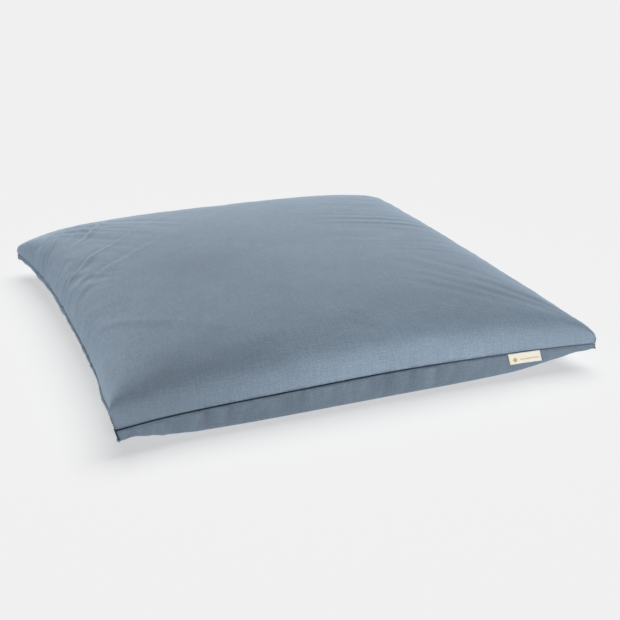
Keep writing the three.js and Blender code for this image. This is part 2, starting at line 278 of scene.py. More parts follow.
class PadSizes(bpy.types.PropertyGroup):
    """Pad inside the cover"""

    margin: bpy.props.FloatProperty(
        name="Margin", description="Cover's outline to the pad", default=0.012, unit="LENGTH"
    )
    drop: bpy.props.FloatProperty(
        name="Drop", description="Cover's skin to the pad", default=0.0032, unit="LENGTH", precision=4
    )
    case_cloth: bpy.props.FloatProperty(
        name="Case cloth", description="Thickness of the case", default=0.0008, unit="LENGTH", precision=4
    )
    edge_gap: bpy.props.FloatProperty(
        name="Edge gap", description="Space between layers at the edge", default=0.005, unit="LENGTH"
    )
    gap: bpy.props.FloatProperty(
        name="Gap", description="Space between layers", default=0.0018, unit="LENGTH", precision=4
    )
    wadding: bpy.props.FloatProperty(
        name="Wadding", description="Thickness of a wadding layer", default=0.015, unit="LENGTH"
    )
    wadding_edge: bpy.props.FloatProperty(
        name="Wadding edge", description="Its thickness at the edge", default=0.008, unit="LENGTH"
    )
    cells: bpy.props.IntProperty(
        name="Cells", description="Mesh cells from the middle to an edge", default=40
    )


# ---- form of the cover ----


def smooth(start, end, value):
    """0 before start, 1 past end and a smooth step between them."""
    t = min(1.0, max(0.0, (value - start) / (end - start)))
    return t * t * (3 - 2 * t)


# hand and end say which corner it is, rise and drop how far its boxed tip stands above and below the
# seam, tuck how far the tip is drawn in, lean how much that grows with height, and the slacks how
# gently the top and the underside run out towards it
Corner = namedtuple("Corner", "hand end rise drop tuck lean top_slack under_slack")


class CoverForm:
    """The cover's surface as a function of u and v, which run from -1 to 1 across the cushion."""

    PULL_POWER = 4
    LEFT_BACK_POWER = 2.4
    DIP_POWER = 3
    CROWN_POWER = 2.5
    CORNER_REACH = 8
    STRAIGHT_SPARE = 0.006  # the back edge is straight this far past the tapes
    SLOT_HALF = 0.004
    SLOT_FADE = 0.040
    GAP_HALF = 0.00015
    ROLL = 0.0020
    TUCK_REACH = 0.110
    SLACK_START = 0.62
    FINE = 4000  # steps by which the cloth's length is measured
    FRONT_LIFT, LIFT_AT, LIFT_WIDTH = 0.003, 0.1, 0.35  # the front seam rides up a little there

    CORNERS = (
        Corner(-1, -1, 0.019, 0.013, 0.0150, 0.27, 0.00, 0.04),
        Corner(1, -1, 0.008, 0.005, 0.000, 0.00, 0.02, 0.11),
        Corner(-1, 1, 0.006, 0.005, 0.000, 0.00, 0.04, 0.12),
        Corner(1, 1, 0.009, 0.007, 0.003, 0.00, 0.02, 0.20),
    )
    SIDE_SLACK = 0.20, 0.09  # the underside leaves the seam less steeply at the left and right
    SIDEWAYS = 0.3, 0.8  # from the front or back, where it has none of that, to the side, where it has all

    def __init__(self, sizes):
        self.sizes = sizes
        self.straight = ZIP_HALF + self.STRAIGHT_SPARE

    def back_flare(self, x):
        past = max(0.0, abs(x) - self.straight) / (HALF - self.straight)
        return past * past

    def plan(self, u, v, margin=0.0, above=0.0):
        """Place in plan, for a point above the seam."""
        s = self.sizes
        front = s.front_pull * (1 - abs(u) ** self.PULL_POWER)
        back = s.back_pull * (1 - self.back_flare(u * HALF))
        power = self.LEFT_BACK_POWER if u < 0 < v else self.PULL_POWER
        side = s.side_pull * (1 - abs(v) ** power)
        x, y = u * (HALF - margin - side), v * (HALF - margin - (back if v > 0 else front))
        corner = self.corner(u, v)
        near = 1 - smooth(0, self.TUCK_REACH, math.hypot(HALF - abs(x), HALF - abs(y)))
        return x - corner.hand * near * (corner.tuck - corner.lean * above), y

    def corner(self, u, v):
        return self.CORNERS[(u > 0) + 2 * (v > 0)]

    def seam(self, u, v):
        s = self.sizes
        far = max(abs(u), abs(v))
        along = min(abs(u), abs(v)) / far if far > 0 else 0.0
        on_back = v > 0 and v >= abs(u)
        dip = self.back_flare(along * HALF) if on_back else along**self.DIP_POWER
        past_lift = (u - self.LIFT_AT) / self.LIFT_WIDTH
        lift = self.FRONT_LIFT * math.exp(-(past_lift**2)) if -v >= abs(u) else 0.0
        return s.seam_height + (lift - (s.seam_height - s.corner_height) * dip) * far**self.CORNER_REACH

    def swell(self, u, v, power):
        across = 1 - min(1.0, abs(u)) ** self.CROWN_POWER
        along = 1 - min(1.0, abs(v)) ** self.CROWN_POWER
        return (across * along) ** power

    def boxing(self, u, v):
        return (abs(u) * abs(v)) ** self.CORNER_REACH

    def slack(self, u, v):
        return smooth(self.SLACK_START, 1, abs(u * v))

    def seam_shade(self, u, v):
        """How dark the painted shade in the seam lies: it is darkest at the front left."""
        return (1 - 0.72 * smooth(-0.1, 0.9, u)) * (1 - 0.85 * smooth(-0.4, 0.5, v))

    def half_opening(self, u, v):
        """Half the gap between the panels at the rim: the sewn seam, or the slot for the zip."""
        blend = smooth(ZIP_HALF, ZIP_HALF + self.SLOT_FADE, abs(u) * HALF)
        return max(self.GAP_HALF, self.SLOT_HALF * (1 - blend) if v > 1 - 1e-6 else 0.0)

    def top(self, u, v, drop=0.0):
        s = self.sizes
        corner = self.corner(u, v)
        rise = CROWN - s.seam_height - self.ROLL - drop
        boxed = max(0.0, corner.rise - drop) * self.boxing(u, v)
        power = s.top_swell + corner.top_slack * self.slack(u, v)
        skin = self.ROLL + boxed + rise * self.swell(u, v, power)
        return self.seam(u, v) + max(skin, self.half_opening(u, v) + self.ROLL)

    def under(self, u, v, lift=0.0):
        s = self.sizes
        corner = self.corner(u, v)
        boxed = max(0.0, corner.drop - lift) * self.boxing(u, v)
        sideways = u * u / max(u * u + v * v, 1e-6)
        power = s.under_swell + corner.under_slack * self.slack(u, v)
        power += self.SIDE_SLACK[u > 0] * smooth(*self.SIDEWAYS, sideways)
        skin = self.ROLL + boxed + (s.under_depth - lift) * self.swell(u, v, power)
        return max(lift, self.seam(u, v) - max(skin, self.half_opening(u, v) + self.ROLL))

    def place(self, u, v, side, margin=0.0, drop=0.0):
        z = self.top(u, v, drop) if side > 0 else self.under(u, v, drop)
        return (*self.plan(u, v, margin, z - self.seam(u, v)), z)

    def edge_place(self, u, v, side, level, inset=0.0):
        """A point of the rim, level above or below the seam and turned in by inset."""
        z = self.seam(u, v) + side * level
        return (*self.plan(u, v, inset, side * level), z)

    def rim_height(self, u, v, side):
        return abs((self.top(u, v) if side > 0 else self.under(u, v)) - self.seam(u, v))

    def stations(self, side, cells):
        """Places across half the cushion that are evenly spaced along the cloth, and its length."""
        s = self.sizes
        u = 1 - (1 - np.linspace(0, 1, self.FINE)) ** 4
        if side > 0:
            height = (CROWN - s.seam_height) * (1 - u**self.CROWN_POWER) ** s.top_swell
        else:
            height = np.minimum(s.seam_height, s.under_depth * (1 - u**self.CROWN_POWER) ** s.under_swell)
        run = np.hypot(np.diff(u) * HALF, np.diff(height))
        arc = np.concatenate([[0], np.cumsum(run)])
        return np.interp(np.linspace(0, arc[-1], cells + 1), arc, u), arc[-1]


# ---- mesh helpers ----


def finished(name, bm, body, node=None, material=None):
    """Turns a bmesh into a smooth piece of the cushion that rides on a body."""
    mesh = bpy.data.meshes.new(name)
    bm.to_mesh(mesh)
    bm.free()
    return placed(name, mesh, body, node, material)


def placed(name, mesh, body, node=None, material=None):
    mesh.polygons.foreach_set("use_smooth", [True] * len(mesh.polygons))
    piece = bpy.data.objects.new(name, mesh)
    bpy.context.scene.collection.objects.link(piece)
    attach(piece, body)
    if node:
        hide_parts(*([node] if isinstance(node, str) else node))
    if material:
        mesh.materials.clear()
        mesh.materials.append(material)
    return piece


def thicken(piece, thickness, offset=-1):
    wall = piece.modifiers.new("Thickness", "SOLIDIFY")
    wall.thickness = thickness
    wall.offset = offset
    return wall


def soften(piece, width, segments=2):
    """Rounds the sharp edges of a hard piece."""
    bevel = piece.modifiers.new("Rounded edges", "BEVEL")
    bevel.width = width
    bevel.segments = segments
    bevel.limit_method = "ANGLE"
    bevel.angle_limit = math.radians(40)
    return bevel


def rounded(bm, geom, offset, segments, affect="EDGES"):
    bmesh.ops.bevel(bm, geom=geom, offset=offset, segments=segments, profile=0.5, affect=affect, material=-1)


def box_matrix(middle, size):
    return Matrix.Translation(middle) @ Matrix.Diagonal((*size, 1))


def lay_flat(bm, place):
    """Writes the UV map of a flat grid: place gives it in metres from the grid's own x and y."""
    uv = bm.loops.layers.uv.new("cloth")
    for face in bm.faces:
        for loop in face.loops:
            loop[uv].uv = place(*loop.vert.co.xy)


def threads(name, paths, radius, cyclic=False, sides=1):
    """A mesh of round threads, one along each list of points."""
    data = bpy.data.curves.new(name, "CURVE")
    data.dimensions = "3D"
    data.bevel_depth = radius
    data.bevel_resolution = sides
    data.use_fill_caps = True
    for points in paths:
        spline = data.splines.new("POLY")
        spline.points.add(len(points) - 1)
        spline.points.foreach_set("co", [value for point in points for value in (*point, 1)])
        spline.use_cyclic_u = cyclic
    drawn = bpy.data.objects.new(name + "_path", data)
    bpy.context.scene.collection.objects.link(drawn)
    seen = drawn.evaluated_get(bpy.context.evaluated_depsgraph_get())
    mesh = bpy.data.meshes.new_from_object(seen)
    bpy.data.objects.remove(drawn)
    bpy.data.curves.remove(data)
    mesh.name = name
    return mesh


def sewn_sheet(bm, form, side, cells, margin=0.0, drop=0.0):
    """A grid over one side of the cushion, with layers for u, v and the place on the flat cloth."""
    stations, half_cut = form.stations(side, cells)
    across, along = vertex_layer(bm, "u"), vertex_layer(bm, "v")
    cut_x, cut_y = vertex_layer(bm, "cut_x"), vertex_layer(bm, "cut_y")
    made = bmesh.ops.create_grid(bm, x_segments=2 * cells, y_segments=2 * cells, size=1)["verts"]

    def station(value):
        return math.copysign(stations[round(abs(value) * cells)], value)

    for vert in made:
        vert[cut_x], vert[cut_y] = vert.co.x * half_cut, vert.co.y * half_cut
        u, v = station(vert.co.x), station(vert.co.y)
        vert[across], vert[along] = u, v
        vert.co = form.place(u, v, side, margin, drop)
    if side < 0:
        bmesh.ops.reverse_faces(bm, faces=list({face for vert in made for face in vert.link_faces}))
    return made


def vertex_layer(bm, name):
    return bm.verts.layers.float.get(name) or bm.verts.layers.float.new(name)


def open_edges(bm, verts):
    among = set(verts)
    return [edge for edge in bm.edges if edge.is_boundary and edge.verts[0] in among]


def extruded_rim(bm, rim):
    """Extrudes a boundary and gives its new vertices and its new boundary."""
    made = bmesh.ops.extrude_edge_only(bm, edges=rim)["geom"]
    verts = [item for item in made if isinstance(item, bmesh.types.BMVert)]
    return verts, [item for item in made if isinstance(item, bmesh.types.BMEdge) and item.is_boundary]


def lay_cloth(bm):
    """Writes the cloth's UV map in metres from the flat place and the reach past its rim."""
    across, along, reach = (vertex_layer(bm, name) for name in ("u", "v", "reach"))
    cut_x, cut_y = vertex_layer(bm, "cut_x"), vertex_layer(bm, "cut_y")
    uv = bm.loops.layers.uv.new("cloth")
    edge = 1 - 1e-6
    for face in bm.faces:
        for loop in face.loops:
            vert = loop.vert
            out_x = math.copysign(vert[reach], vert[across]) if abs(vert[across]) > edge else 0.0
            out_y = math.copysign(vert[reach], vert[along]) if abs(vert[along]) > edge else 0.0
            loop[uv].uv = vert[cut_x] + out_x, vert[cut_y] + out_y


# ---- folds and puckers ----


class Folds:
    """Small folds pressed into the cover, in metres along the surface normal."""

    # corner, where the crease starts on its side seam and where it aims on the front or back seam
    # (both from the corner, as a share of half a side), its half width and its height
    CREASES = (
        (-1, 1, 0.14, 0.10, 0.0030, 0.0012),
        (-1, 1, 0.24, 0.19, 0.0034, 0.0018),
        (-1, 1, 0.35, 0.24, 0.0034, 0.0014),
        (-1, 1, 0.48, 0.33, 0.0040, 0.0022),
        (-1, 1, 0.59, 0.42, 0.0036, 0.0015),
        (-1, 1, 0.72, 0.52, 0.0044, 0.0024),
        (-1, 1, 0.88, 0.98, 0.0050, 0.0011),
        (-1, 1, 1.08, 1.40, 0.0080, 0.0006),
        (1, 1, 0.38, 0.30, 0.0070, 0.0002),
        (1, -1, 0.17, 0.12, 0.0050, 0.0004),
        (1, -1, 0.30, 0.26, 0.0060, 0.0003),
        (-1, -1, 0.34, 0.55, 0.0100, 0.0004),
        (-1, -1, 0.60, 0.95, 0.0120, 0.0005),
    )
    WANDER = 0.010  # how far a crease strays from its line
    TAPER = 0.006  # distance from the seam over which a crease rises
    FLARE = 0.7, 0.9  # share of the width at the start, and what is added on the way
    VALLEY = 0.6, 1.5  # depth beside the crest as a share of its height, and place in widths
    LIVELY = 0.75, 0.9  # steady share of the height, and the share that varies
    FADE = 0.45, 0.95  # part of the way over which a crease dies out

    # waves per metre along the seam, heights, and how far in from the seam they last
    FINE_WAVES, BROAD_WAVES, PLEAT_WAVES = 110, 42, 27
    TOP_FINE, TOP_BROAD = (0.0006, 0.030), (0.0012, 0.065)
    UNDER_FINE, UNDER_PLEAT, GATHER_REACH = 0.0020, 0.0022, 0.040
    UNDER_BROAD = 0.0040, 0.050
    PLEAT_SLANT, PLEAT_SHARPNESS = 0.5, 3.5
    BESIDE_LABEL = 0.024, 0.044  # from the label's middle: smooth up to the first, full past the second
    FRONT_SHARE, BACK_SHARE = 0.35, 0.9

    def __init__(self, form, side):
        self.form = form
        self.side = side

    def creases(self, u, v, inwards):
        """Creases that run from a side seam round a corner and fade before the front or back seam."""
        total = 0.0
        for row, (hand, end, start, aim, width, height) in enumerate(self.CREASES):
            across, along = abs(u - hand) / aim, abs(v - end) / start
            reach = across + along
            if reach > 2:
                continue
            drift = noise.noise(Vector((u * 5, v * 5, row))) * self.WANDER * min(1, reach)
            off = (reach - 1) * HALF * start * aim / math.hypot(start, aim) + drift
            part = across / max(reach, 1e-6)
            wide = width * (self.FLARE[0] + self.FLARE[1] * part)
            crest = math.exp(-((off / wide) ** 2))
            crest -= self.VALLEY[0] * math.exp(-((off / wide + self.VALLEY[1]) ** 2))
            lively = self.LIVELY[0] + self.LIVELY[1] * noise.noise(Vector((part * 3, row * 2.3, 1.0)))
            total += height * crest * lively * (1 - smooth(*self.FADE, part))
        return total * min(1, inwards / self.TAPER)

    def edge_puckers(self, inwards, run, hand, amount):
        """Short gathers that stand off a seam; run is the distance along it."""
        fine = noise.noise(Vector((run * self.FINE_WAVES, inwards * 8, hand * 7.3)))
        broad = noise.noise(Vector((run * self.BROAD_WAVES, inwards * 6, hand * 3.1 + 5)))
        if self.side > 0:
            height, reach = self.TOP_FINE
            gather = height * fine * math.exp(-inwards / reach)
            height, reach = self.TOP_BROAD
            return amount * (gather + height * broad * math.exp(-inwards / reach))
        slanted = run + self.PLEAT_SLANT * inwards
        lines = abs(noise.noise(Vector((slanted * self.PLEAT_WAVES, inwards * 7, hand + 11))))
        pleat = max(0.0, 1 - self.PLEAT_SHARPNESS * lines)
        gather = self.UNDER_FINE * fine + self.UNDER_PLEAT * pleat * pleat
        gather *= math.exp(-inwards / self.GATHER_REACH)
        height, reach = self.UNDER_BROAD
        beside = smooth(*self.BESIDE_LABEL, abs(run - LABEL_MIDDLE)) if hand == -2 else 1.0
        return (gather + height * broad * math.exp(-inwards / reach)) * (0.1 + 0.9 * beside)

    def fan(self, u, v):
        """Faint lines that fan in from the right side."""
        if u < 0:
            return 0.0
        lines = noise.noise(Vector((u * 1.6, v * 24 + 6 * u, 4.0)))
        return 0.0010 * lines * smooth(0.15, 0.7, u) * smooth(-0.75, 0.1, v)

    def at(self, u, v, cut_x, cut_y, half_cut):
        sides = (
            (half_cut - abs(cut_x), cut_y, math.copysign(1, u), 1.0),
            (
                half_cut - abs(cut_y), cut_x, 2 * math.copysign(1, v),
                self.FRONT_SHARE if v < 0 else self.BACK_SHARE,
            ),
        )
        total = sum(self.edge_puckers(*place) for place in sides)
        if self.side > 0:
            inwards = half_cut - max(abs(cut_x), abs(cut_y))
            total += self.creases(u, v, inwards) + self.fan(u, v)
        return total


def layer_values(mesh, name):
    values = np.empty(len(mesh.vertices))
    mesh.attributes[name].data.foreach_get("value", values)
    return values


def vertex_places(mesh):
    place = np.empty(len(mesh.vertices) * 3)
    mesh.vertices.foreach_get("co", place)
    return place.reshape(-1, 3)


def set_places(mesh, place):
    place[:, 2] = np.maximum(place[:, 2], 0)
    mesh.vertices.foreach_set("co", place.ravel())
    mesh.update()


# ---- painted light and shade ----

# painted light on the top and painted shade on the underside: a share at the left, and by how much it changes
# smoothly from one u to another
SIDE_PAINTED_LIGHT = 0.30, ((0.45, -0.5, 0.5),)
FRONT_PAINTED_LIGHT = -0.30, ((1.35, -0.85, 0.15),)
BACK_PAINTED_LIGHT = 1.30, ((0.30, 0.0, 0.8),)
UNDER_SHADE_RAMP = 1.0, ((-0.25, -0.5, 0.0), (-0.55, 0.2, 0.9))
UNDER_PAINTED_SHADE = -0.75  # painted shade: the underside is darker, except close to the left seam
LEFT_STRIP = 0.020, 0.060
SLOPE = 0.035, 0.150  # the painted light runs out between these distances from the seam
DIAGONAL = 0.14  # half the width over which one side's painted light turns into the next one's
PAINTED_SHADE_AT, PAINTED_SHADE_SPREAD, PAINTED_SHADE = (-0.4, -0.1), 0.12, 0.50  # a patch of painted shade left of the middle
CREST_PAINTED_LIGHT = {1: 150, -1: 130}  # per metre of height: painted light on a crest, painted shade in a valley
CREST_MOST = 0.7
FLAT_FOOT = 0.012  # folds die out below this height, where the cushion rests


def ramped(base, steps, value):
    for amount, start, end in steps:
        base += amount * smooth(start, end, value)
    return base


def painted_light(side, u, v, cut_x, cut_y, half_cut):
    """Painted light on the cloth, from 0 in the middle of the top to 1 on the slope above a seam; painted
    shade is below 0.
    """
    inwards = half_cut - max(abs(cut_x), abs(cut_y))
    past_diagonal = smooth(-DIAGONAL, DIAGONAL, abs(v) - abs(u))
    if side < 0:
        beside_left = (1 - smooth(*LEFT_STRIP, inwards)) * (1 - past_diagonal) if u < 0 else 0.0
        return UNDER_PAINTED_SHADE * ramped(*UNDER_SHADE_RAMP, u) * (1 - beside_left)
    beside = ramped(*SIDE_PAINTED_LIGHT, u)
    ahead = ramped(*(FRONT_PAINTED_LIGHT if v < 0 else BACK_PAINTED_LIGHT), u)
    share = beside + (ahead - beside) * past_diagonal
    dark = PAINTED_SHADE * math.exp(-((u - PAINTED_SHADE_AT[0]) ** 2 + (v - PAINTED_SHADE_AT[1]) ** 2) / PAINTED_SHADE_SPREAD)
    return share * (1 - smooth(*SLOPE, inwards)) - dark


def press_folds(piece, folds, half_cut):
    """Moves the cloth by its folds, and stores the painted light and shade on it."""
    mesh = piece.data
    normal = np.empty(len(mesh.vertices) * 3)
    mesh.vertices.foreach_get("normal", normal)
    place = vertex_places(mesh)
    layers = [layer_values(mesh, name) for name in ("u", "v", "cut_x", "cut_y")]
    depth = np.array([folds.at(*values, half_cut) for values in zip(*layers)])
    blend = np.array([painted_light(folds.side, *values, half_cut) for values in zip(*layers)])
    # painted highlight on fold crests and painted shade in their valleys
    blend += np.clip(CREST_PAINTED_LIGHT[folds.side] * (depth - depth.mean()), -CREST_MOST, CREST_MOST)
    # painted light and shade, kept per vertex for the canvas material
    mesh.attributes.new("painted_light", "FLOAT", "POINT").data.foreach_set("value", blend)
    if folds.side < 0:
        depth *= np.clip(place[:, 2] / FLAT_FOOT, 0, 1)
    set_places(mesh, place + normal.reshape(-1, 3) * depth[:, None])


# ---- the simulated cloth ----

BROAD_CELLS = 7  # folds wider than about this many trial cells each way are left to the pad
TAUT_RIM = 0.05  # share of half a side over which the cloth is held flat by its seam
TOWARDS_BACK = (0.5, 0.95), (1, 0.2)  # from one v to another, the share of the folds that is kept
TOWARDS_RIGHT = (-0.1, 0.7), (1, 0.35)  # the same from one u to another
TAUT_AT, TAUT_SPREAD, TAUT = (-0.75, -0.7), 0.25, 0.9  # the cloth is taut near the front left corner


def buckle(form, side, cells, excess, pressure, frames):
    """How slightly oversized cloth, held at its seam and blown up, moves: one row per grid vertex."""
    scene = bpy.context.scene
    bm = bmesh.new()
    sewn_sheet(bm, form, side, cells)
    across, along = vertex_layer(bm, "u"), vertex_layer(bm, "v")
    rim = [vert.index for vert in bm.verts if max(abs(vert[across]), abs(vert[along])) > 0.99999]
    mesh = bpy.data.meshes.new("trial")
    bm.to_mesh(mesh)
    bm.free()
    trial = bpy.data.objects.new("trial", mesh)
    scene.collection.objects.link(trial)
    trial.vertex_groups.new(name="held").add(rim, 1.0, "REPLACE")
    start = vertex_places(mesh).copy()
    cloth = trial.modifiers.new("Cloth", "CLOTH")
    settings = cloth.settings
    settings.quality = 5
    settings.mass = 0.15
    settings.tension_stiffness = settings.compression_stiffness = 25
    settings.shear_stiffness = 8
    settings.bending_stiffness = 0.4
    settings.air_damping = 2
    settings.use_pressure = True
    settings.uniform_pressure_force = pressure
    settings.shrink_min = settings.shrink_max = -excess
    settings.effector_weights.gravity = 0
    settings.vertex_group_mass = "held"
    cloth.point_cache.frame_start = 1
    cloth.point_cache.frame_end = frames
    for frame_number in range(1, frames + 1):
        scene.frame_set(frame_number)
    moved = vertex_places(trial.evaluated_get(bpy.context.evaluated_depsgraph_get()).data)
    shift = moved - start
    scene.frame_set(1)
    bpy.data.objects.remove(trial)
    bpy.data.meshes.remove(mesh)
    return shift.reshape(2 * cells + 1, 2 * cells + 1, 3)


def resampled(rows, count):
    """A square field of values at a finer grid, by straight interpolation along both ways."""
    old, new = np.linspace(0, 1, rows.shape[0]), np.linspace(0, 1, count)
    low = np.clip(np.searchsorted(old, new, side="right") - 1, 0, len(old) - 2)
    part = (new - old[low]) / (old[low + 1] - old[low])
    rows = rows[low] * (1 - part)[:, None, None] + rows[low + 1] * part[:, None, None]
    return rows[:, low] * (1 - part)[None, :, None] + rows[:, low + 1] * part[None, :, None]


def blurred(rows, reach):
    """A square field of values, each averaged with its neighbours up to reach cells away."""
    weights = np.hanning(2 * reach + 3)[1:-1]
    weights /= weights.sum()
    count = len(rows)
    for axis in (0, 1):
        margins = [(reach, reach) if way == axis else (0, 0) for way in range(3)]
        wide = np.pad(rows, margins, mode="edge")
        rows = sum(weight * np.take(wide, range(at, at + count), axis) for at, weight in enumerate(weights))
    return rows


def settle(piece, form, side, settings):
    """Adds the simulated cloth's folds. The pad under the cloth holds its broad form."""
    trial = buckle(form, side, settings.trial_cells, settings.excess, settings.pressure, settings.frames)
    across, along = np.meshgrid(*[np.linspace(-1, 1, len(trial))] * 2)
    inwards = 1 - np.maximum(abs(across), abs(along))
    share = np.clip(inwards / TAUT_RIM, 0, 1) * settings.fold_share
    share *= np.interp(along, *TOWARDS_BACK) * np.interp(across, *TOWARDS_RIGHT)
    off_taut = (across - TAUT_AT[0]) ** 2 + (along - TAUT_AT[1]) ** 2
    share *= 1 - TAUT * np.exp(-off_taut / TAUT_SPREAD)
    trial = (trial - blurred(trial, BROAD_CELLS)) * share[:, :, None]
    count = 2 * settings.cells + 1
    shift = resampled(trial, count).reshape(-1, 3)
    length = np.linalg.norm(shift, axis=1, keepdims=True)
    shift *= np.minimum(1, settings.cap / np.maximum(length, 1e-9))
    set_places(piece.data, vertex_places(piece.data) + shift)


def turn_in_rim(piece, form, side):
    """Runs the panel down to the seam and rolls its edge inwards, with a mask of painted shade in the groove.
    """
    bm = bmesh.new()
    bm.from_mesh(piece.data)
    across, along = vertex_layer(bm, "u"), vertex_layer(bm, "v")
    groove_shade, reach = vertex_layer(bm, "groove_shade"), vertex_layer(bm, "reach")
    roll = form.ROLL
    rim = [edge for edge in bm.edges if edge.is_boundary]
    # share of the wall left above the roll, then inset and height in rolls, and the mask of painted shade
    wall = ((0.66, 0.0, 1.0, 0.0), (0.33, 0.0, 1.0, 0.0))
    rolled = ((0.0, 0.0, 0.8, 0.30), (0.0, 0.16, 0.42, 1.0), (0.0, 0.55, 0.13, 1.0), (0.0, 1.6, 0.0, 1.0))
    for share, inset, rise, mask in (*wall, *rolled):
        verts, rim = extruded_rim(bm, rim)
        for vert in verts:
            u, v = vert[across], vert[along]
            opening = form.half_opening(u, v)
            spare = form.rim_height(u, v, side) - opening - roll
            level = opening + rise * roll + share * max(0.0, spare)
            place = Vector(form.edge_place(u, v, side, level, inset * roll))
            vert[reach] += (vert.co - place).length
            vert.co = place
            vert[groove_shade] = mask * form.seam_shade(u, v)
    lay_cloth(bm)
    bm.to_mesh(piece.data)
    bm.free()
    piece.data.polygons.foreach_set("use_smooth", [True] * len(piece.data.polygons))


def make_panel(name, side, settings, material):
    form = CoverForm(settings)
    bm = bmesh.new()
    sewn_sheet(bm, form, side, settings.cells)
    half_cut = form.stations(side, settings.cells)[1]
    piece = finished(f"canvas_{name}", bm, "cushion", f"cover_{name}_panel", material)
    press_folds(piece, Folds(form, side), half_cut)
    if side > 0:
        settle(piece, form, side, settings)
    turn_in_rim(piece, form, side)
    thicken(piece, settings.cloth)
    return piece


# ---- materials ----

SHEEN_TINT = (0.62, 0.80, 1.0)
SHEEN_ROUGHNESS = 0.45
SPECULAR = 0.25


def new_material(name, colour, roughness, metallic=0.0, sheen=0.0):
    material = bpy.data.materials.new(name)
    material.use_nodes = True
    shader = material.node_tree.nodes["Principled BSDF"]
    shader.inputs["Base Color"].default_value = (*colour, 1)
    shader.inputs["Roughness"].default_value = roughness
    shader.inputs["Metallic"].default_value = metallic
    shader.inputs["Sheen Weight"].default_value = sheen
    shader.inputs["Sheen Roughness"].default_value = SHEEN_ROUGHNESS
    shader.inputs["Sheen Tint"].default_value = (*SHEEN_TINT, 1)
    if not metallic:
        shader.inputs["Specular IOR Level"].default_value = SPECULAR
    material.diffuse_color = (*colour, 1)
    return material, shader


class Tree:
    """Adds and links nodes in one tree."""

    def __init__(self, tree):
        self.tree = tree

    def node(self, kind, inputs=None, **settings):
        node = self.tree.nodes.new(kind)
        for key, value in settings.items():
            setattr(node, key, value)
        for key, value in (inputs or {}).items():
            self.feed(value, node.inputs[key])
        return node

    def feed(self, value, socket):
        if isinstance(value, bpy.types.NodeSocket):
            self.tree.links.new(value, socket)
        else:
            socket.default_value = value

    def math(self, operation, *values, clamp=False):
        node = self.node("ShaderNodeMath", operation=operation, use_clamp=clamp)
        for index, value in enumerate(values):
            self.feed(value, node.inputs[index])
        return node.outputs[0]

    def noise(self, vector, scale, detail=2.0, roughness=0.5):
        made = self.node(
            "ShaderNodeTexNoise", {"Vector": vector, "Scale": scale, "Detail": detail, "Roughness": roughness}
        )
        return made.outputs["Fac"]

    def stretched(self, vector, scale):
        return self.node("ShaderNodeMapping", {"Vector": vector, "Scale": scale}).outputs["Vector"]

    def mix(self, factor, first, second):
        made = self.node("ShaderNodeMix", data_type="RGBA")
        self.feed(factor, made.inputs["Factor"])
        self.feed(first, made.inputs[6])
        self.feed(second, made.inputs[7])
        return made.outputs[2]


WEAVE_TONE, TONE_BASE = 0.24, -0.30  # share of the threads' own relief in the tone, and its zero
SLUB_TONE, GRAIN_TONE = 0.6, 1.30
WEAVE_HEIGHT, SLUB_HEIGHT = 0.7, 1.6
PAINTED_LIGHT_GAIN, UNPAINTED_BRIGHTNESS = 0.34, 0.91  # brightness added per unit of painted light, and brightness where none is painted


def weave_group():
    """Plain weave with slubs. Vector is in metres along the threads."""
    if "Plain weave" in bpy.data.node_groups:
        return bpy.data.node_groups["Plain weave"]
    group = bpy.data.node_groups.new("Plain weave", "ShaderNodeTree")
    for name, kind, default in (
        ("Vector", "NodeSocketVector", None),
        ("Pitch", "NodeSocketFloat", 0.0007),
        ("Slub", "NodeSocketFloat", 1.0),
    ):
        socket = group.interface.new_socket(name=name, in_out="INPUT", socket_type=kind)
        if default is not None:
            socket.default_value = default
    for name in ("Tone", "Height"):
        group.interface.new_socket(name=name, in_out="OUTPUT", socket_type="NodeSocketFloat")
    t = Tree(group)
    given = t.node("NodeGroupInput")
    result = t.node("NodeGroupOutput")
    split = t.node("ShaderNodeSeparateXYZ", {"Vector": given.outputs["Vector"]})
    turn = t.math("DIVIDE", math.pi, given.outputs["Pitch"])
    warp = t.math("SINE", t.math("MULTIPLY", split.outputs["X"], turn))
    weft = t.math("SINE", t.math("MULTIPLY", split.outputs["Y"], turn))
    over = t.math("MULTIPLY_ADD", t.math("MULTIPLY", warp, weft), 2.0, 0.5, clamp=True)
    under = t.math("SUBTRACT", 1.0, over)
    high = t.math("MULTIPLY", t.math("ABSOLUTE", warp), over)
    low = t.math("MULTIPLY", t.math("ABSOLUTE", weft), under)
    weave = t.math("ADD", high, low)

    def streaks(x, y, detail, roughness=0.5):
        """Noise with so many waves a metre each way."""
        return t.noise(t.stretched(given.outputs["Vector"], (x, y, 1)), 1.0, detail, roughness)

    grain = streaks(300, 420, 5, 0.75)
    fine = t.math("ADD", streaks(1100, 45, 3), streaks(45, 1100, 3))
    coarse = t.math("ADD", streaks(520, 22, 2), streaks(22, 520, 2))
    slub = t.math("MULTIPLY_ADD", coarse, 0.5, t.math("MULTIPLY", fine, 0.5))
    slub = t.math("MULTIPLY", t.math("SUBTRACT", slub, 1.0), given.outputs["Slub"])
    tone = t.math("MULTIPLY_ADD", weave, WEAVE_TONE, TONE_BASE)
    tone = t.math("ADD", tone, t.math("MULTIPLY", slub, SLUB_TONE))
    tone = t.math("MULTIPLY_ADD", grain, GRAIN_TONE, tone, clamp=True)
    t.feed(tone, result.inputs["Tone"])
    height = t.math("ADD", t.math("MULTIPLY", weave, WEAVE_HEIGHT), t.math("MULTIPLY", slub, SLUB_HEIGHT))
    t.feed(height, result.inputs["Height"])
    return group


def cloth_vector(t):
    """The cloth's own UV, in metres along its threads."""
    return t.node("ShaderNodeUVMap", uv_map="cloth").outputs["UV"]


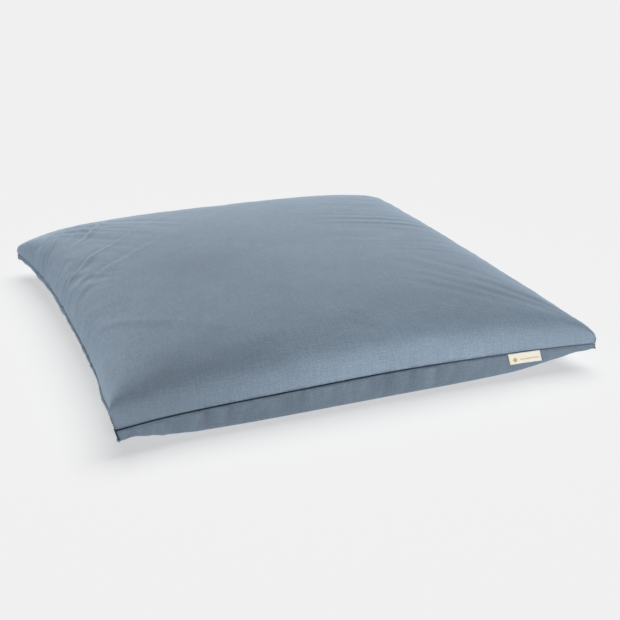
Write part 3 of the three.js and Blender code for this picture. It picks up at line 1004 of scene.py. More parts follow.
def woven_material(
    name, colours, pitch, slub=1.0, patchy=0.28, roughness=0.9, sheen=0.3, relief=0.00012, marks=None
):
    """Cloth of that colour, with its pale and deep threads, and marks(t, vector, colour) over it."""
    if name in bpy.data.materials:
        return bpy.data.materials[name]
    colour, pale, deep = colours
    material, shader = new_material(name, colour, roughness, sheen=sheen)
    t = Tree(material.node_tree)
    vector = cloth_vector(t)
    weave = t.node("ShaderNodeGroup", node_tree=weave_group())
    t.feed(vector, weave.inputs["Vector"])
    weave.inputs["Pitch"].default_value = pitch
    weave.inputs["Slub"].default_value = slub
    ramp = t.node("ShaderNodeValToRGB", {"Fac": weave.outputs["Tone"]})
    ramp.color_ramp.elements[0].color = (*deep, 1)
    ramp.color_ramp.elements[1].color = (*pale, 1)
    ramp.color_ramp.elements.new(0.5).color = (*colour, 1)
    patch = t.noise(t.stretched(vector, (7, 11, 1)), 1.0, 4, 0.6)
    tinted = t.node("ShaderNodeVectorMath", operation="SCALE")
    t.feed(ramp.outputs["Color"], tinted.inputs[0])
    t.feed(t.math("MULTIPLY_ADD", patch, patchy, 1 - patchy / 2), tinted.inputs["Scale"])
    result = tinted.outputs["Vector"]
    if marks:
        result = marks(t, vector, result)
    t.feed(result, shader.inputs["Base Color"])
    rough = t.math("MULTIPLY_ADD", weave.outputs["Tone"], -0.12, roughness + 0.04, clamp=True)
    t.feed(rough, shader.inputs["Roughness"])
    bump = t.node("ShaderNodeBump", {"Strength": 0.5, "Distance": relief, "Height": weave.outputs["Height"]})
    t.feed(bump.outputs["Normal"], shader.inputs["Normal"])
    return material


def shades(colour, spread):
    """A colour, its pale threads and its deep ones."""
    return tuple(tuple(value * (1 + way * spread) for value in colour) for way in (0, 1, -1))


def canvas_material():
    look = bpy.context.scene.cushion_cloth

    # painted light and shade from its vertex layer, then painted shade deep in the seam's groove
    def groove_shade(t, vector, colour):
        blend = t.node("ShaderNodeAttribute", attribute_name="painted_light").outputs["Fac"]
        painted = t.node("ShaderNodeVectorMath", operation="SCALE")
        t.feed(colour, painted.inputs[0])
        t.feed(t.math("MULTIPLY_ADD", blend, PAINTED_LIGHT_GAIN, UNPAINTED_BRIGHTNESS), painted.inputs["Scale"])
        mask = t.node("ShaderNodeAttribute", attribute_name="groove_shade").outputs["Fac"]
        return t.mix(mask, painted.outputs["Vector"], (*look.groove_shade, 1))

    colours = tuple(look.colour), tuple(look.pale), tuple(look.deep)
    return woven_material("Canvas", colours, look.pitch, marks=groove_shade)


def zip_tape_material():
    return woven_material("Zip tape", shades(bpy.context.scene.cushion_zip.tape, 0.35), 0.0006, slub=0.2)


def calico_material():
    return woven_material("Calico", shades((0.80, 0.74, 0.62), 0.15), 0.0009, slub=0.7)


def white_label_material():
    return woven_material("White label", shades((0.86, 0.86, 0.84), 0.06), 0.0003, slub=0.1, sheen=0.1)


def label_material(sizes):
    """Cream ribbon with a small ochre lozenge and a dashed woven line on its front."""

    line_pitch, line_height = 0.0036, 0.0012
    lozenge_reach = 0.0046

    def marks(t, vector, colour):
        split = t.node("ShaderNodeSeparateXYZ", {"Vector": vector})
        x, y = split.outputs["X"], split.outputs["Y"]
        level = sizes.label_drop * 0.60
        off_level = t.math("ABSOLUTE", t.math("SUBTRACT", y, level))
        aside = t.math("ABSOLUTE", t.math("SUBTRACT", x, sizes.label_width * 0.18))
        lozenge = t.math("LESS_THAN", t.math("ADD", off_level, aside), lozenge_reach)
        middle = t.math("ABSOLUTE", t.math("SUBTRACT", x, sizes.label_width * 0.64))
        wave = t.math("SINE", t.math("MULTIPLY", x, 2 * math.pi / line_pitch))
        dash = t.math("GREATER_THAN", wave, -0.35)
        line = t.math("MULTIPLY", t.math("LESS_THAN", middle, sizes.label_width * 0.31), dash)
        line = t.math("MULTIPLY", line, t.math("LESS_THAN", off_level, line_height))
        mask = t.math("MAXIMUM", lozenge, line)
        return t.mix(t.math("MULTIPLY", mask, 0.85), colour, (*sizes.mark, 1))

    return woven_material(
        "Cream label", shades(sizes.ribbon, 0.08), 0.00035, slub=0.1, patchy=0.06, sheen=0.1, marks=marks
    )


def plain_material(name, colour, roughness, metallic=0.0, scale=900.0, spread=0.2, relief=0.00005, sheen=0.0):
    """A finish whose colour, roughness and surface vary with fine noise."""
    if name in bpy.data.materials:
        return bpy.data.materials[name]
    material, shader = new_material(name, colour, roughness, metallic, sheen)
    t = Tree(material.node_tree)
    vector = t.node("ShaderNodeTexCoord").outputs["Object"]
    fine = t.noise(t.stretched(vector, (scale, scale, scale)), 1.0, 3, 0.6)
    broad = t.noise(t.stretched(vector, (60, 60, 60)), 1.0, 3, 0.6)
    both = t.math("MULTIPLY_ADD", broad, 0.5, t.math("MULTIPLY", fine, 0.5))
    light, dark = (tuple(min(1.0, value * (1 + sign * spread)) for value in colour) for sign in (1, -1))
    t.feed(t.mix(both, (*dark, 1), (*light, 1)), shader.inputs["Base Color"])
    rough = t.math("MULTIPLY_ADD", both, 0.3, roughness - 0.15, clamp=True)
    t.feed(rough, shader.inputs["Roughness"])
    bump = t.node("ShaderNodeBump", {"Strength": 0.5, "Distance": relief, "Height": fine})
    t.feed(bump.outputs["Normal"], shader.inputs["Normal"])
    return material


def thread_material():
    return plain_material("Navy thread", (0.030, 0.050, 0.080), 0.8, scale=2500, spread=0.5, sheen=0.3)


def nylon_material():
    return plain_material("Zip coil", (0.075, 0.110, 0.150), 0.42, scale=1500, spread=0.12)


def metal_material():
    colour = tuple(bpy.context.scene.cushion_zip.metal)
    return plain_material("Zip metal", colour, 0.38, 1.0, scale=700, spread=0.25, relief=0.00002)


def fluff_material(name):
    colour = {"Wadding": (0.88, 0.87, 0.84), "Fibre": (0.90, 0.90, 0.88)}[name]
    return plain_material(name, colour, 0.95, scale=260, spread=0.10, relief=0.0016, sheen=0.4)


# ---- seams and corners ----


INSET, WIDTH = 0.0022, 0.0074  # of an allowance, from the cover's outline
LIFT = 0.0007  # how far its raw edge waves up and down
PLIES = 0.0016  # thickness of both together
CELL = 0.008
OVERLOCK, OVERLOCK_PITCH = 0.00025, 0.0045  # radius of the thread, and distance between its turns


def allowance_strip(name, form, edge, material, thread):
    """Two plies of sewn allowance inside the seam, and the overlock thread round their raw edge."""
    bm = bmesh.new()
    length = (Vector(form.plan(*edge(1))) - Vector(form.plan(*edge(-1)))).length
    cells = max(12, round(length / CELL))
    bmesh.ops.create_grid(bm, x_segments=cells, y_segments=3, size=1)

    def point(s, n, rise=0.0):
        u, v = edge(s)
        wave = LIFT * n * noise.noise(Vector((s * length * 30, n, 3.0)))
        return (*form.plan(u, v, INSET + WIDTH * n), form.seam(u, v) + wave + rise)

    lay_flat(bm, lambda x, y: (x * length / 2, y * WIDTH / 2))
    for vert in bm.verts:
        vert.co = point(vert.co.x, (vert.co.y + 1) / 2)
    strip = finished(name, bm, "cushion", "seam_" + name, material)
    thicken(strip, PLIES, 0)
    max(length, 0.01)
    steps = round(length / OVERLOCK_PITCH)
    loop_over = ((0.45, 0.0011), (1.04, 0.0009), (1.06, -0.0009), (0.45, -0.0011))
    path = [
        point(2 * (step + part / 4) / steps - 1, n, rise)
        for step in range(steps)
        for part, (n, rise) in enumerate(loop_over)
    ]
    placed(name + "_thread", threads(name, [path], OVERLOCK, sides=0), "cushion", None, thread)


CORD_TUCK = 0.01  # a corner tucked in further than this shows the cord in its lower half


def corner_seam(name, node, form, hand, end, material):
    """The short seam across a boxed corner: a drawn-in edge with whip stitches over it."""
    steps, pitch = 10, 0.0036
    thread, cord_thread, cord_proud = 0.00032, 0.0013, 0.0004
    top, low = form.rim_height(hand, end, 1), form.rim_height(hand, end, -1)
    tip = []
    for step in range(steps + 1):
        level = top + (-low - top) * step / steps
        x, y = form.plan(hand, end, 0, level)
        tip.append(Vector((x, y, form.seam(hand, end) + level)))
    outwards = Vector((hand, end, 0)).normalized()
    across = Vector((-outwards.y, outwards.x, 0))
    slant = Vector((0, 0, 0.0006))
    # a stitch's points: sideways, outwards and along the slant
    stitch = (
        (-0.0017, -0.0013, -1.0), (-0.0007, 0.0004, -0.5), (0.0007, 0.0004, 0.5), (0.0017, -0.0013, 1.0)
    )
    count = max(3, round((top + low) / pitch))
    paths = []
    for index in range(count):
        at = (index + 0.5) / count * steps
        base = tip[int(at)].lerp(tip[int(at) + 1], at % 1)
        paths.append([base + across * side + outwards * out + slant * part for side, out, part in stitch])
    placed(name, threads(name, paths, thread), "cushion", node, material)
    if form.corner(hand, end).tuck > CORD_TUCK:
        lower = [point + outwards * cord_proud for point in tip[steps // 2:]]
        cord = threads(name + "_cord", [lower], cord_thread, sides=2)
        placed(name + "_cord", cord, "cushion", None, material)


class CUSHION_OT_seams(bpy.types.Operator):
    """Make the sewn allowances inside the cover and the short seams at its four corners"""

    bl_idname = "cushion.seams"
    bl_label = "Seams"

    END = 0.014  # an allowance stops this far from a corner

    def execute(self, context):
        form = CoverForm(context.scene.cushion_cover)
        canvas, thread = canvas_material(), thread_material()
        far = 1 - (self.END + 0.002) / HALF
        near = (ZIP_HALF + 0.006) / HALF

        def back(s):
            return near + (far - near) * (s + 1) / 2

        edges = {
            "left": lambda s: (-1, -s * far),
            "right": lambda s: (1, s * far),
            "front": lambda s: (s * far, -1),
            "back_right": lambda s: (back(-s), 1),
            "back_left": lambda s: (-back(s), 1),
        }
        for name, edge in edges.items():
            allowance_strip("allowance_" + name, form, edge, canvas, thread)
        for end, y in (("front", -1), ("back", 1)):
            for hand, x in (("left", -1), ("right", 1)):
                corner_seam(f"corner_seam_{end}_{hand}", f"corner_tack_{end}_{hand}", form, x, y, thread)
        return {"FINISHED"}


# ---- the zip ----


class CUSHION_OT_zip(bpy.types.Operator):
    """Make the zip's tapes, coils, stops and stitching"""

    bl_idname = "cushion.zip"
    bl_label = "Zip"

    TAPE_CLOTH = 0.0004
    TAPE_INSET = 0.00025  # outer face to the middle of the tape
    RIPPLE = 0.00012
    STITCH, STITCH_PITCH, STITCH_LENGTH = 0.00028, 0.0036, 0.0027
    OFF_SEAM = 0.0030  # the stitches run this far from the panel's edge
    OFF_END = 0.004  # and stop this far from the tapes' ends

    def execute(self, context):
        sizes = context.scene.cushion_zip
        tape_cloth, nylon, metal = zip_tape_material(), nylon_material(), metal_material()
        for name, side in (("upper", 1), ("lower", -1)):
            self.tape(name, side, sizes, tape_cloth)
            self.coil(name, side, sizes, nylon)
        for name in ("top", "bottom"):
            self.stop(name, metal)
        self.stitching(context.scene.cushion_cover, thread_material())
        return {"FINISHED"}

    def tape(self, name, side, sizes, material):
        bm = bmesh.new()
        bmesh.ops.create_grid(bm, x_segments=160, y_segments=6, size=1)
        inner, outer = sizes.tape_gap / 2, TAPE_HIGH.z - SEAM_LEVEL
        lay_flat(bm, lambda x, y: (x * ZIP_HALF, y * (outer - inner) / 2))
        for vert in bm.verts:
            part = (vert.co.y + 1) / 2
            ripple = self.RIPPLE * noise.noise(Vector((vert.co.x * ZIP_HALF * 60, part, side)))
            rise = inner + (outer - inner) * part
            vert.co = vert.co.x * ZIP_HALF, TAPE_HIGH.y - self.TAPE_INSET + ripple, SEAM_LEVEL + side * rise
        if side > 0:
            bmesh.ops.reverse_faces(bm, faces=bm.faces)
        tape = finished(f"tape_{name}", bm, "cushion", f"zip_tape_{name}", material)
        thicken(tape, self.TAPE_CLOTH, 0)

    def coil(self, name, side, sizes, material):
        """One turn of round wire, a little taller than it is deep, repeated along the zip."""
        steps = 8
        wire = sizes.coil_wire
        depth = (COIL_HIGH.y - COIL_LOW.y) / 2
        length = COIL_HIGH.x - COIL_LOW.x - 2 * wire
        turns = round(length / sizes.coil_pitch)
        pitch = length / turns
        inner, outer = sizes.coil_gap / 2, COIL_HIGH.z - SEAM_LEVEL
        centre = Vector((COIL_LOW.x + wire, (COIL_LOW.y + COIL_HIGH.y) / 2, 0))
        first = centre + Vector((0, 0, depth - wire))
        start = Matrix.Translation(first) @ Matrix.Rotation(math.pi / 2, 4, "X")
        bm = bmesh.new()
        ring = bmesh.ops.create_circle(bm, segments=4, radius=wire, matrix=start)["verts"]
        bmesh.ops.spin(
            bm, geom=list({*ring, *(edge for vert in ring for edge in vert.link_edges)}), cent=centre,
            axis=(1, 0, 0), dvec=(pitch / steps, 0, 0), angle=2 * math.pi, steps=steps,
        )
        stretch = (outer - inner) / (2 * depth)
        for vert in bm.verts:
            vert.co.z = SEAM_LEVEL + side * (inner + outer) / 2 + side * vert.co.z * stretch
        bmesh.ops.recalc_face_normals(bm, faces=bm.faces)
        coil = finished(f"coil_{name}", bm, "cushion", f"zip_coil_{name}", material)
        repeat = coil.modifiers.new("Turns", "ARRAY")
        repeat.count = turns
        repeat.use_relative_offset = False
        repeat.use_constant_offset = True
        repeat.constant_offset_displace = (pitch, 0, 0)
        repeat.use_merge_vertices = True
        repeat.merge_threshold = wire / 20

    def stop(self, name, metal):
        """A small bent clip pressed over both coils."""
        node = f"zip_{name}_stop"
        low, high = corners_of(node)
        size, middle = high - low, (low + high) / 2
        bm = bmesh.new()
        bmesh.ops.create_cube(bm, size=1, matrix=box_matrix(middle, size))
        upright = [edge for edge in bm.edges if abs(edge.verts[0].co.y - edge.verts[1].co.y) > size.y / 2]
        rounded(bm, upright, size.x / 4, 3)
        face = max(bm.faces, key=lambda item: item.normal.y)
        bmesh.ops.inset_region(bm, faces=[face], thickness=size.x / 6, depth=-size.y / 6)
        stop = finished(f"{name}_stop", bm, "cushion", node, metal)
        soften(stop, size.x / 20)

    def stitching(self, cover, material):
        """A row of small stitches on each panel, along the zip."""
        form = CoverForm(cover)
        paths = []
        pitch, length = self.STITCH_PITCH, self.STITCH_LENGTH
        count = int(2 * (ZIP_HALF - self.OFF_END) / pitch)
        for name, side in (("canvas_top", 1), ("canvas_bottom", -1)):
            bm = bmesh.new()
            bm.from_mesh(bpy.data.objects[name].data)
            panel = BVHTree.FromBMesh(bm)
            bm.free()
            for stitch in range(count):
                x = (stitch - count / 2 + 0.5) * pitch
                points = []
                for part, lift in ((-0.5, -0.0006), (-0.3, 0.0002), (0.3, 0.0002), (0.5, -0.0006)):
                    u = (x + part * length) / HALF
                    level = form.half_opening(u, 1) + form.ROLL + self.OFF_SEAM
                    aim = Vector(form.edge_place(u, 1, side, level))
                    place, normal, _, _ = panel.find_nearest(aim)
                    points.append(place + normal * lift)
                paths.append(points)
        name = "zip_stitching"
        placed(name, threads(name, paths, self.STITCH), "cushion", None, material)


class CUSHION_OT_slider(bpy.types.Operator):
    """Make the zip's slider and its pull"""

    bl_idname = "cushion.slider"
    bl_label = "Slider and pull"

    PLATE_ROUNDING = 0.0016
    RIB = 0.0004  # half the thickness of the rib that parts the coils
    LIP, LIP_DEPTH = 0.00045, 0.0012
    SOFT_EDGE, PULL_EDGE = 0.00016, 0.00014
    PANEL_BORDER, PANEL_SLOPE, PANEL_DEPTH = 0.0010, 0.0003, 0.00028
    NECK = 0.0022  # from the pull's eye to its tab

    def execute(self, context):
        sizes = context.scene.cushion_zip
        metal = metal_material()
        self.slider(sizes, metal)
        self.pull(sizes, metal)
        return {"FINISHED"}

    def slider(self, sizes, metal):
        low, high = corners_of("zip_slider")
        middle = (low + high) / 2
        half = (high - low) / 2
        plate, wall = sizes.plate, sizes.bridge_wall
        pivot = Vector(JOINTS["zip_pull_swing"]["pos_m"])
        face = pivot.y - sizes.bridge_room / 2
        bm = bmesh.new()

        def block(x, y, z, taper=1.0, rounding=0.0):
            """A box between two values each way, narrower at its closed end, with round corners."""
            size = Vector((x[1] - x[0], y[1] - y[0], z[1] - z[0]))
            at = Vector((sum(x) / 2, sum(y) / 2, sum(z) / 2))
            made = bmesh.ops.create_cube(bm, size=1, matrix=box_matrix(at, size))
            for vert in made["verts"]:
                if vert.co.x < at.x:
                    vert.co.z = at.z + (vert.co.z - at.z) * taper
            if rounding:
                upright = {
                    edge for vert in made["verts"] for edge in vert.link_edges
                    if abs(edge.verts[0].co.y - edge.verts[1].co.y) > size.y / 2
                }
                rounded(bm, list(upright), rounding, 4)

        z = middle.z
        outer = sizes.outer_width / 2
        ends = low.x, high.x
        block(ends, (low.y, low.y + plate), (z - half.z, z + half.z), 0.78, self.PLATE_ROUNDING)
        block(ends, (face - plate, face), (z - outer, z + outer), 0.80, self.PLATE_ROUNDING)
        rib = self.RIB
        block((middle.x, high.x - rib), (low.y + plate / 2, face - plate / 2), (z - rib, z + rib))
        for side in (-1, 1):
            lip = sorted((z + side * outer * 0.98, z + side * (outer - self.LIP)))
            block((middle.x - 0.001, high.x - 0.0014), (face - plate - self.LIP_DEPTH, face - plate / 2), lip)
        self.bridge(bm, middle.x, z, face, high.y - face, half.x - 0.0003, wall, sizes.bridge_width)
        bmesh.ops.recalc_face_normals(bm, faces=bm.faces)
        slider = finished("slider", bm, "zip_slider", "zip_slider", metal)
        soften(slider, self.SOFT_EDGE)

    def bridge(self, bm, x, z, face, height, reach, wall, width):
        """An arch over the slider's outer plate, which holds the pull."""
        first = x - reach + wall / 2, face - wall / 4, z
        at = Matrix.Translation(first) @ Matrix.Rotation(math.pi / 2, 4, "X")
        foot = bmesh.ops.create_grid(
            bm, x_segments=1, y_segments=1, size=0.5, matrix=at @ Matrix.Diagonal((wall, width, 1, 1))
        )["verts"]
        before = set(bm.verts) - set(foot)
        geometry = [*foot, *{edge for vert in foot for edge in vert.link_edges}]
        geometry += list({face_ for vert in foot for face_ in vert.link_faces})
        bmesh.ops.spin(
            bm, geom=geometry, cent=(x, face - wall / 4, z), axis=(0, 0, -1), angle=math.pi, steps=18
        )
        squeeze = (height + wall / 4) / reach
        for vert in set(bm.verts) - before:
            rise = vert.co.y - (face - wall / 4)
            vert.co.y = face - wall / 4 + rise * squeeze

    def pull(self, sizes, metal):
        """A flat tab with a round end and a pressed panel, hung from an eye."""
        low, high = corners_of("zip_pull")
        pivot = Vector(JOINTS["zip_pull_swing"]["pos_m"])
        bar, eye, hole = sizes.pull_bar, sizes.eye_width / 2, sizes.eye_hole / 2
        tab = (high.z - low.z) / 2
        eye_end = pivot.x - sizes.eye_end
        across = (pivot.x + bar, pivot.x - bar, eye_end, eye_end - self.NECK, low.x)
        width = (eye, eye, eye * 0.94, tab, tab)
        bm = bmesh.new()
        bmesh.ops.create_grid(bm, x_segments=4, y_segments=3, size=1)
        for vert in bm.verts:
            column, row = round((vert.co.x + 1) * 2), round((vert.co.y + 1) * 1.5)
            inner = hole if column < 4 else tab / 2
            rise = (-width[column], -inner, inner, width[column])[row]
            vert.co = across[column], pivot.y, pivot.z + rise
        middle_z = pivot.z
        hollow = [
            item for item in bm.faces
            if abs(item.calc_center_median().z - middle_z) < hole / 2
            and eye_end < item.calc_center_median().x < pivot.x - bar
        ]
        bmesh.ops.delete(bm, geom=hollow, context="FACES")
        tips = [
            vert for vert in bm.verts
            if vert.co.x < low.x + 1e-6 and abs(vert.co.z - middle_z) > tab * 0.9
        ]
        rounded(bm, tips, tab * 0.72, 7, affect="VERTICES")
        bmesh.ops.recalc_face_normals(bm, faces=bm.faces)
        thickness = high.y - low.y
        made = bmesh.ops.extrude_face_region(bm, geom=bm.faces[:])["geom"]
        for vert in (item for item in made if isinstance(item, bmesh.types.BMVert)):
            vert.co.y += thickness / 2
        raised = {item for item in made if isinstance(item, bmesh.types.BMVert)}
        for vert in set(bm.verts) - raised:
            vert.co.y -= thickness / 2
        bmesh.ops.recalc_face_normals(bm, faces=bm.faces)
        for outwards in (-1, 1):
            panel = [
                item for item in bm.faces
                if item.normal.y * outwards > 0.9 and item.calc_center_median().x < eye_end - self.NECK
            ]
            bmesh.ops.inset_region(bm, faces=panel, thickness=self.PANEL_BORDER, depth=0.0)
            bmesh.ops.inset_region(bm, faces=panel, thickness=self.PANEL_SLOPE, depth=-self.PANEL_DEPTH)
        pull = finished("pull", bm, "zip_pull", "zip_pull", metal)
        soften(pull, self.PULL_EDGE)


# ---- labels ----


LABEL_CURL, LABEL_WAVE = 0.0006, 0.0005  # how far the ribbon strays from flat at its fold


def folded_ribbon(bm, width, drop, gap, fold_radius, lean, slant):
    """A ribbon folded in half: down its front, round the fold and up its back."""
    bmesh.ops.create_grid(bm, x_segments=26, y_segments=44, size=1)
    leg = drop - fold_radius
    length = 2 * leg + math.pi * fold_radius
    lay_flat(bm, lambda x, y: ((x + 1) * width / 2, (1 - y) * length / 2))
    for vert in bm.verts:
        run = (1 - vert.co.y) * length / 2
        side = vert.co.x * width / 2
        if run < leg:
            out, down = -gap, run
        elif run > length - leg:
            out, down = gap, length - run
        else:
            turn = (run - leg) / fold_radius
            out, down = -gap * math.cos(turn), leg + fold_radius * math.sin(turn)
        curl = LABEL_CURL * (vert.co.x**2 - 0.4) * down / drop
        wave = LABEL_WAVE * noise.noise(Vector((side * 70, run * 60, 2.0))) * down / drop
        vert.co = side + slant * down, out + lean * down - curl + wave, -down
    return length


class CUSHION_OT_labels(bpy.types.Operator):
    """Make the folded side label and the care label"""

    bl_idname = "cushion.labels"
    bl_label = "Labels"

    CARE_CURL, CARE_CLOTH = 0.0004, 0.00025

    def execute(self, context):
        sizes = context.scene.cushion_labels
        self.side_label(sizes)
        self.care_label()
        return {"FINISHED"}

    def side_label(self, sizes):
        joint = JOINTS["side_label_flip"]
        along = -Vector(joint["axis"]).normalized()
        outwards = along.cross(Vector((0, 0, 1))).normalized()
        upwards = outwards.cross(along)
        bm = bmesh.new()
        gap = (sizes.label_fold + sizes.label_cloth) / 2
        length = folded_ribbon(
            bm, sizes.label_width, sizes.label_drop, gap, gap, sizes.label_lean, sizes.label_slant
        )
        turn = Matrix((along, -outwards, upwards)).transposed().to_4x4()
        bm.transform(Matrix.Translation(joint["pos_m"]) @ turn)
        bmesh.ops.recalc_face_normals(bm, faces=bm.faces)
        label = finished("folded_label", bm, "side_label", "side_label", label_material(sizes))
        thicken(label, sizes.label_cloth, 0)

    def care_label(self):
        low, high = corners_of("care_label")
        middle, size = (low + high) / 2, high - low
        bm = bmesh.new()
        bmesh.ops.create_grid(bm, x_segments=14, y_segments=10, size=1)
        lay_flat(bm, lambda x, y: (x * size.x / 2, y * size.z / 2))
        for vert in bm.verts:
            x, z = vert.co.x * size.x / 2, vert.co.y * size.z / 2
            curl = -self.CARE_CURL * (vert.co.y - 1) ** 2 / 4 * (1 + vert.co.x)
            vert.co = middle.x + x, middle.y + curl, middle.z + z
        bmesh.ops.reverse_faces(bm, faces=bm.faces)
        label = finished("inside_label", bm, "cushion", "care_label", white_label_material())
        thicken(label, self.CARE_CLOTH, 0)


# ---- the pad ----


class CUSHION_OT_pad(bpy.types.Operator):
    """Make the pad inside the cover: its cotton case, two layers of wadding and a fibre core"""

    bl_idname = "cushion.pad"
    bl_label = "Pad"

    WADDING_LUMPS, FIBRE_LUMPS = 0.0012, 0.0014  # depth of the hollows between lumps
    LUMP_WAVES, FINE_WAVES = 9, 40  # per metre
    CASE_ALLOWANCE = 0.01

    def execute(self, context):
        cover, pad = context.scene.cushion_cover, context.scene.cushion_pad
        form = CoverForm(cover)
        for name, side in (("top", 1), ("bottom", -1)):
            self.case(name, side, form, pad)
            self.wadding(name, side, form, pad)
        self.core(form, pad)
        return {"FINISHED"}

    def case(self, name, side, form, pad):
        margin, drop = pad.margin, pad.drop
        bm = bmesh.new()
        verts = sewn_sheet(bm, form, side, pad.cells, margin, drop)
        reach = vertex_layer(bm, "reach")
        rim = open_edges(bm, verts)
        made, _ = extruded_rim(bm, rim)
        across, along = vertex_layer(bm, "u"), vertex_layer(bm, "v")
        for vert in made:
            u, v = vert[across], vert[along]
            place = Vector(form.edge_place(u, v, side, form.half_opening(u, v), margin))
            vert[reach] = (vert.co - place).length
            vert.co = place
        lay_cloth(bm)
        case = finished(f"case_{name}", bm, "cushion", f"inner_case_{name}", calico_material())
        thicken(case, pad.case_cloth)
        cut = 2 * (form.stations(side, pad.cells)[1] - margin + self.CASE_ALLOWANCE)

    def quilt(self, verts, side, depth):
        """Presses uneven hollows into a skin, always inwards."""
        for vert in verts:
            x, y = vert.co.xy
            lump = noise.noise(Vector((x * self.LUMP_WAVES, y * self.LUMP_WAVES, side * 4.0)))
            fine = noise.noise(Vector((x * self.FINE_WAVES, y * self.FINE_WAVES, side * 2.0)))
            vert.co.z += side * depth * min(0.0, lump - 0.2 + 0.3 * fine)

    def layer(self, names, form, cells, outer, inner, material, depth):
        """A closed body between two skins, each given by its side, margin, drop and the way it faces."""
        name, node, slot = names
        bm = bmesh.new()
        skins = []
        for side, margin, drop, facing in (outer, inner):
            verts = sewn_sheet(bm, form, side, cells, margin, drop)
            if facing != side:
                bmesh.ops.reverse_faces(bm, faces=list({face for vert in verts for face in vert.link_faces}))
            self.quilt(verts, facing, depth)
            skins.append(open_edges(bm, verts))
        bmesh.ops.bridge_loops(bm, edges=skins[0] + skins[1])
        bmesh.ops.recalc_face_normals(bm, faces=bm.faces)
        piece = finished(name, bm, "cushion", node, material)

    def wadding(self, name, side, form, pad):
        margin, drop = pad.margin + pad.case_cloth + pad.edge_gap, pad.drop + pad.case_cloth + pad.gap
        outer = (side, margin, drop, side)
        inner = (side, margin + pad.wadding_edge, drop + pad.wadding, -side)
        names = f"quilt_{name}", f"wadding_{name}", "wadding"
        self.layer(names, form, pad.cells, outer, inner, fluff_material("Wadding"), self.WADDING_LUMPS)

    def core(self, form, pad):
        margin = pad.margin + pad.case_cloth + 2 * pad.edge_gap + pad.wadding_edge
        drop = pad.drop + pad.case_cloth + 2 * pad.gap + pad.wadding
        upper, lower = (1, margin, drop, 1), (-1, margin, drop, -1)
        names = "core", "fill_core", "fibre"
        self.layer(names, form, pad.cells, upper, lower, fluff_material("Fibre"), self.FIBRE_LUMPS)


# ---- the stage ----


LAMP_SPREAD = math.radians(60)


def aimed_light(name, place, strength):
    """A wide, soft light from that direction."""
    data = bpy.data.lights.new(name, "SUN")
    data.energy = strength
    data.angle = LAMP_SPREAD
    lamp = bpy.data.objects.new(name, data)
    bpy.context.scene.collection.objects.link(lamp)
    lamp.rotation_euler = (-Vector(place)).to_track_quat("-Z", "Y").to_euler()
    return lamp


AIM_SHARE = 0.28  # of the crown's height, where the camera's placing starts from


def place_camera(studio):
    a, e = studio.azimuth, studio.elevation
    back = Vector((math.sin(a) * math.cos(e), -math.cos(a) * math.cos(e), math.sin(e)))
    right = Vector((math.cos(a), math.sin(a), 0))
    up = back.cross(right)
    middle = Vector((0, 0, AIM_SHARE * CROWN))
    camera = bpy.data.objects.new("Camera", bpy.data.cameras.new("Camera"))
    camera.data.lens = studio.lens
    camera.data.clip_end = 100
    camera.location = middle + back * studio.distance + right * studio.right + up * studio.up
    turn = Matrix((right, up, back)).transposed()
    camera.rotation_euler = turn.to_euler()
    bpy.context.scene.collection.objects.link(camera)
    bpy.context.scene.camera = camera


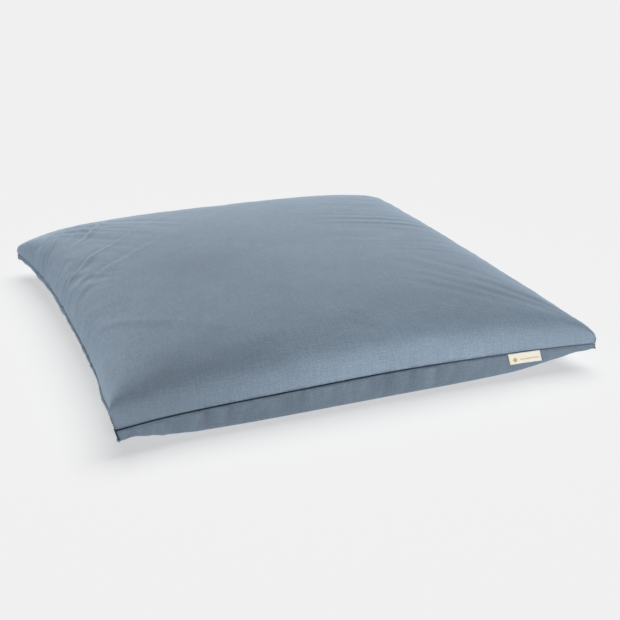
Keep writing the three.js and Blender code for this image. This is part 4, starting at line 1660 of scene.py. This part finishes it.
class CUSHION_OT_stage(bpy.types.Operator):
    """Make the floor, the lights and the camera"""

    bl_idname = "cushion.stage"
    bl_label = "Stage"

    # azimuth from the front and elevation in degrees, and strength
    LAMPS = (("Back light", 170, 18, 4.2), ("Front light", 8, 26, 1.45), ("Side light", -74, 26, 0.72))
    FLOOR_LAMP = ("Floor light", 130, 70, 2.3)
    AMBIENT = 0.03
    FLOOR_TONE = 0.46
    FLOOR_GLOW = 0.543

    def execute(self, context):
        scene = context.scene
        place_camera(scene.cushion_studio)
        bm = bmesh.new()
        bmesh.ops.create_grid(bm, x_segments=1, y_segments=1, size=30)
        mesh = bpy.data.meshes.new("floor")
        bm.to_mesh(mesh)
        bm.free()
        floor = bpy.data.objects.new("floor", mesh)
        scene.collection.objects.link(floor)
        material, shader = new_material("Floor", (self.FLOOR_TONE,) * 3, 1.0)
        shader.inputs["Specular IOR Level"].default_value = 0
        shader.inputs["Emission Color"].default_value = (1, 1, 1, 1)
        shader.inputs["Emission Strength"].default_value = self.FLOOR_GLOW
        mesh.materials.append(material)
        self.room(scene)
        for name, azimuth, elevation, strength in (*self.LAMPS, self.FLOOR_LAMP):
            azimuth, elevation = math.radians(azimuth), math.radians(elevation)
            level = math.cos(elevation)
            place = math.sin(azimuth) * level, -math.cos(azimuth) * level, math.sin(elevation)
            lamp = aimed_light(name, place, strength)
            lit = bpy.data.collections.new(name)
            lit.objects.link(floor)
            lamp.light_linking.receiver_collection = lit
            if name != self.FLOOR_LAMP[0]:
                lit.collection_objects[0].light_linking.link_state = "EXCLUDE"
        scene.view_settings.view_transform = "Standard"
        return {"FINISHED"}

    def room(self, scene):
        world = bpy.data.worlds.new("World")
        scene.world = world
        world.use_nodes = True
        background = world.node_tree.nodes["Background"]
        background.inputs["Color"].default_value = (1, 1, 1, 1)
        background.inputs["Strength"].default_value = self.AMBIENT


class CUSHION_OT_cover(bpy.types.Operator):
    """Make the two canvas panels of the cover"""

    bl_idname = "cushion.cover"
    bl_label = "Cover"

    def execute(self, context):
        sizes = context.scene.cushion_cover
        material = canvas_material()
        make_panel("top", 1, sizes, material)
        make_panel("bottom", -1, sizes, material)
        return {"FINISHED"}


class CUSHION_PT_panel(bpy.types.Panel):
    """Sidebar panel with the cushion's sizes and makers"""

    bl_label = "Floor Cushion"
    bl_space_type = "VIEW_3D"
    bl_region_type = "UI"
    bl_category = "Cushion"

    def draw(self, context):
        for name, cls in SETTINGS.items():
            box = self.layout.box()
            box.label(text=cls.__doc__)
            for key in cls.__annotations__:
                box.prop(getattr(context.scene, name), key)
        for maker in MAKERS:
            self.layout.operator(maker.bl_idname)


SETTINGS = {
    "cushion_cover": CoverSizes,
    "cushion_cloth": ClothLook,
    "cushion_zip": ZipSizes,
    "cushion_labels": LabelSizes,
    "cushion_pad": PadSizes,
    "cushion_studio": Studio,
}
MAKERS = (
    CUSHION_OT_stage,
    CUSHION_OT_pad,
    CUSHION_OT_cover,
    CUSHION_OT_seams,
    CUSHION_OT_zip,
    CUSHION_OT_slider,
    CUSHION_OT_labels,
)


def register():
    for cls in (*SETTINGS.values(), *MAKERS, CUSHION_PT_panel):
        bpy.utils.register_class(cls)
    for name, cls in SETTINGS.items():
        setattr(bpy.types.Scene, name, bpy.props.PointerProperty(type=cls))


def unregister():
    for name in SETTINGS:
        delattr(bpy.types.Scene, name)
    for cls in reversed((*SETTINGS.values(), *MAKERS, CUSHION_PT_panel)):
        bpy.utils.unregister_class(cls)


def main():
    register()
    bpy.ops.cushion.stage()
    bpy.ops.cushion.pad()
    bpy.ops.cushion.cover()
    bpy.ops.cushion.seams()
    bpy.ops.cushion.zip()
    bpy.ops.cushion.slider()
    bpy.ops.cushion.labels()


if __name__ == "__main__":
    main()
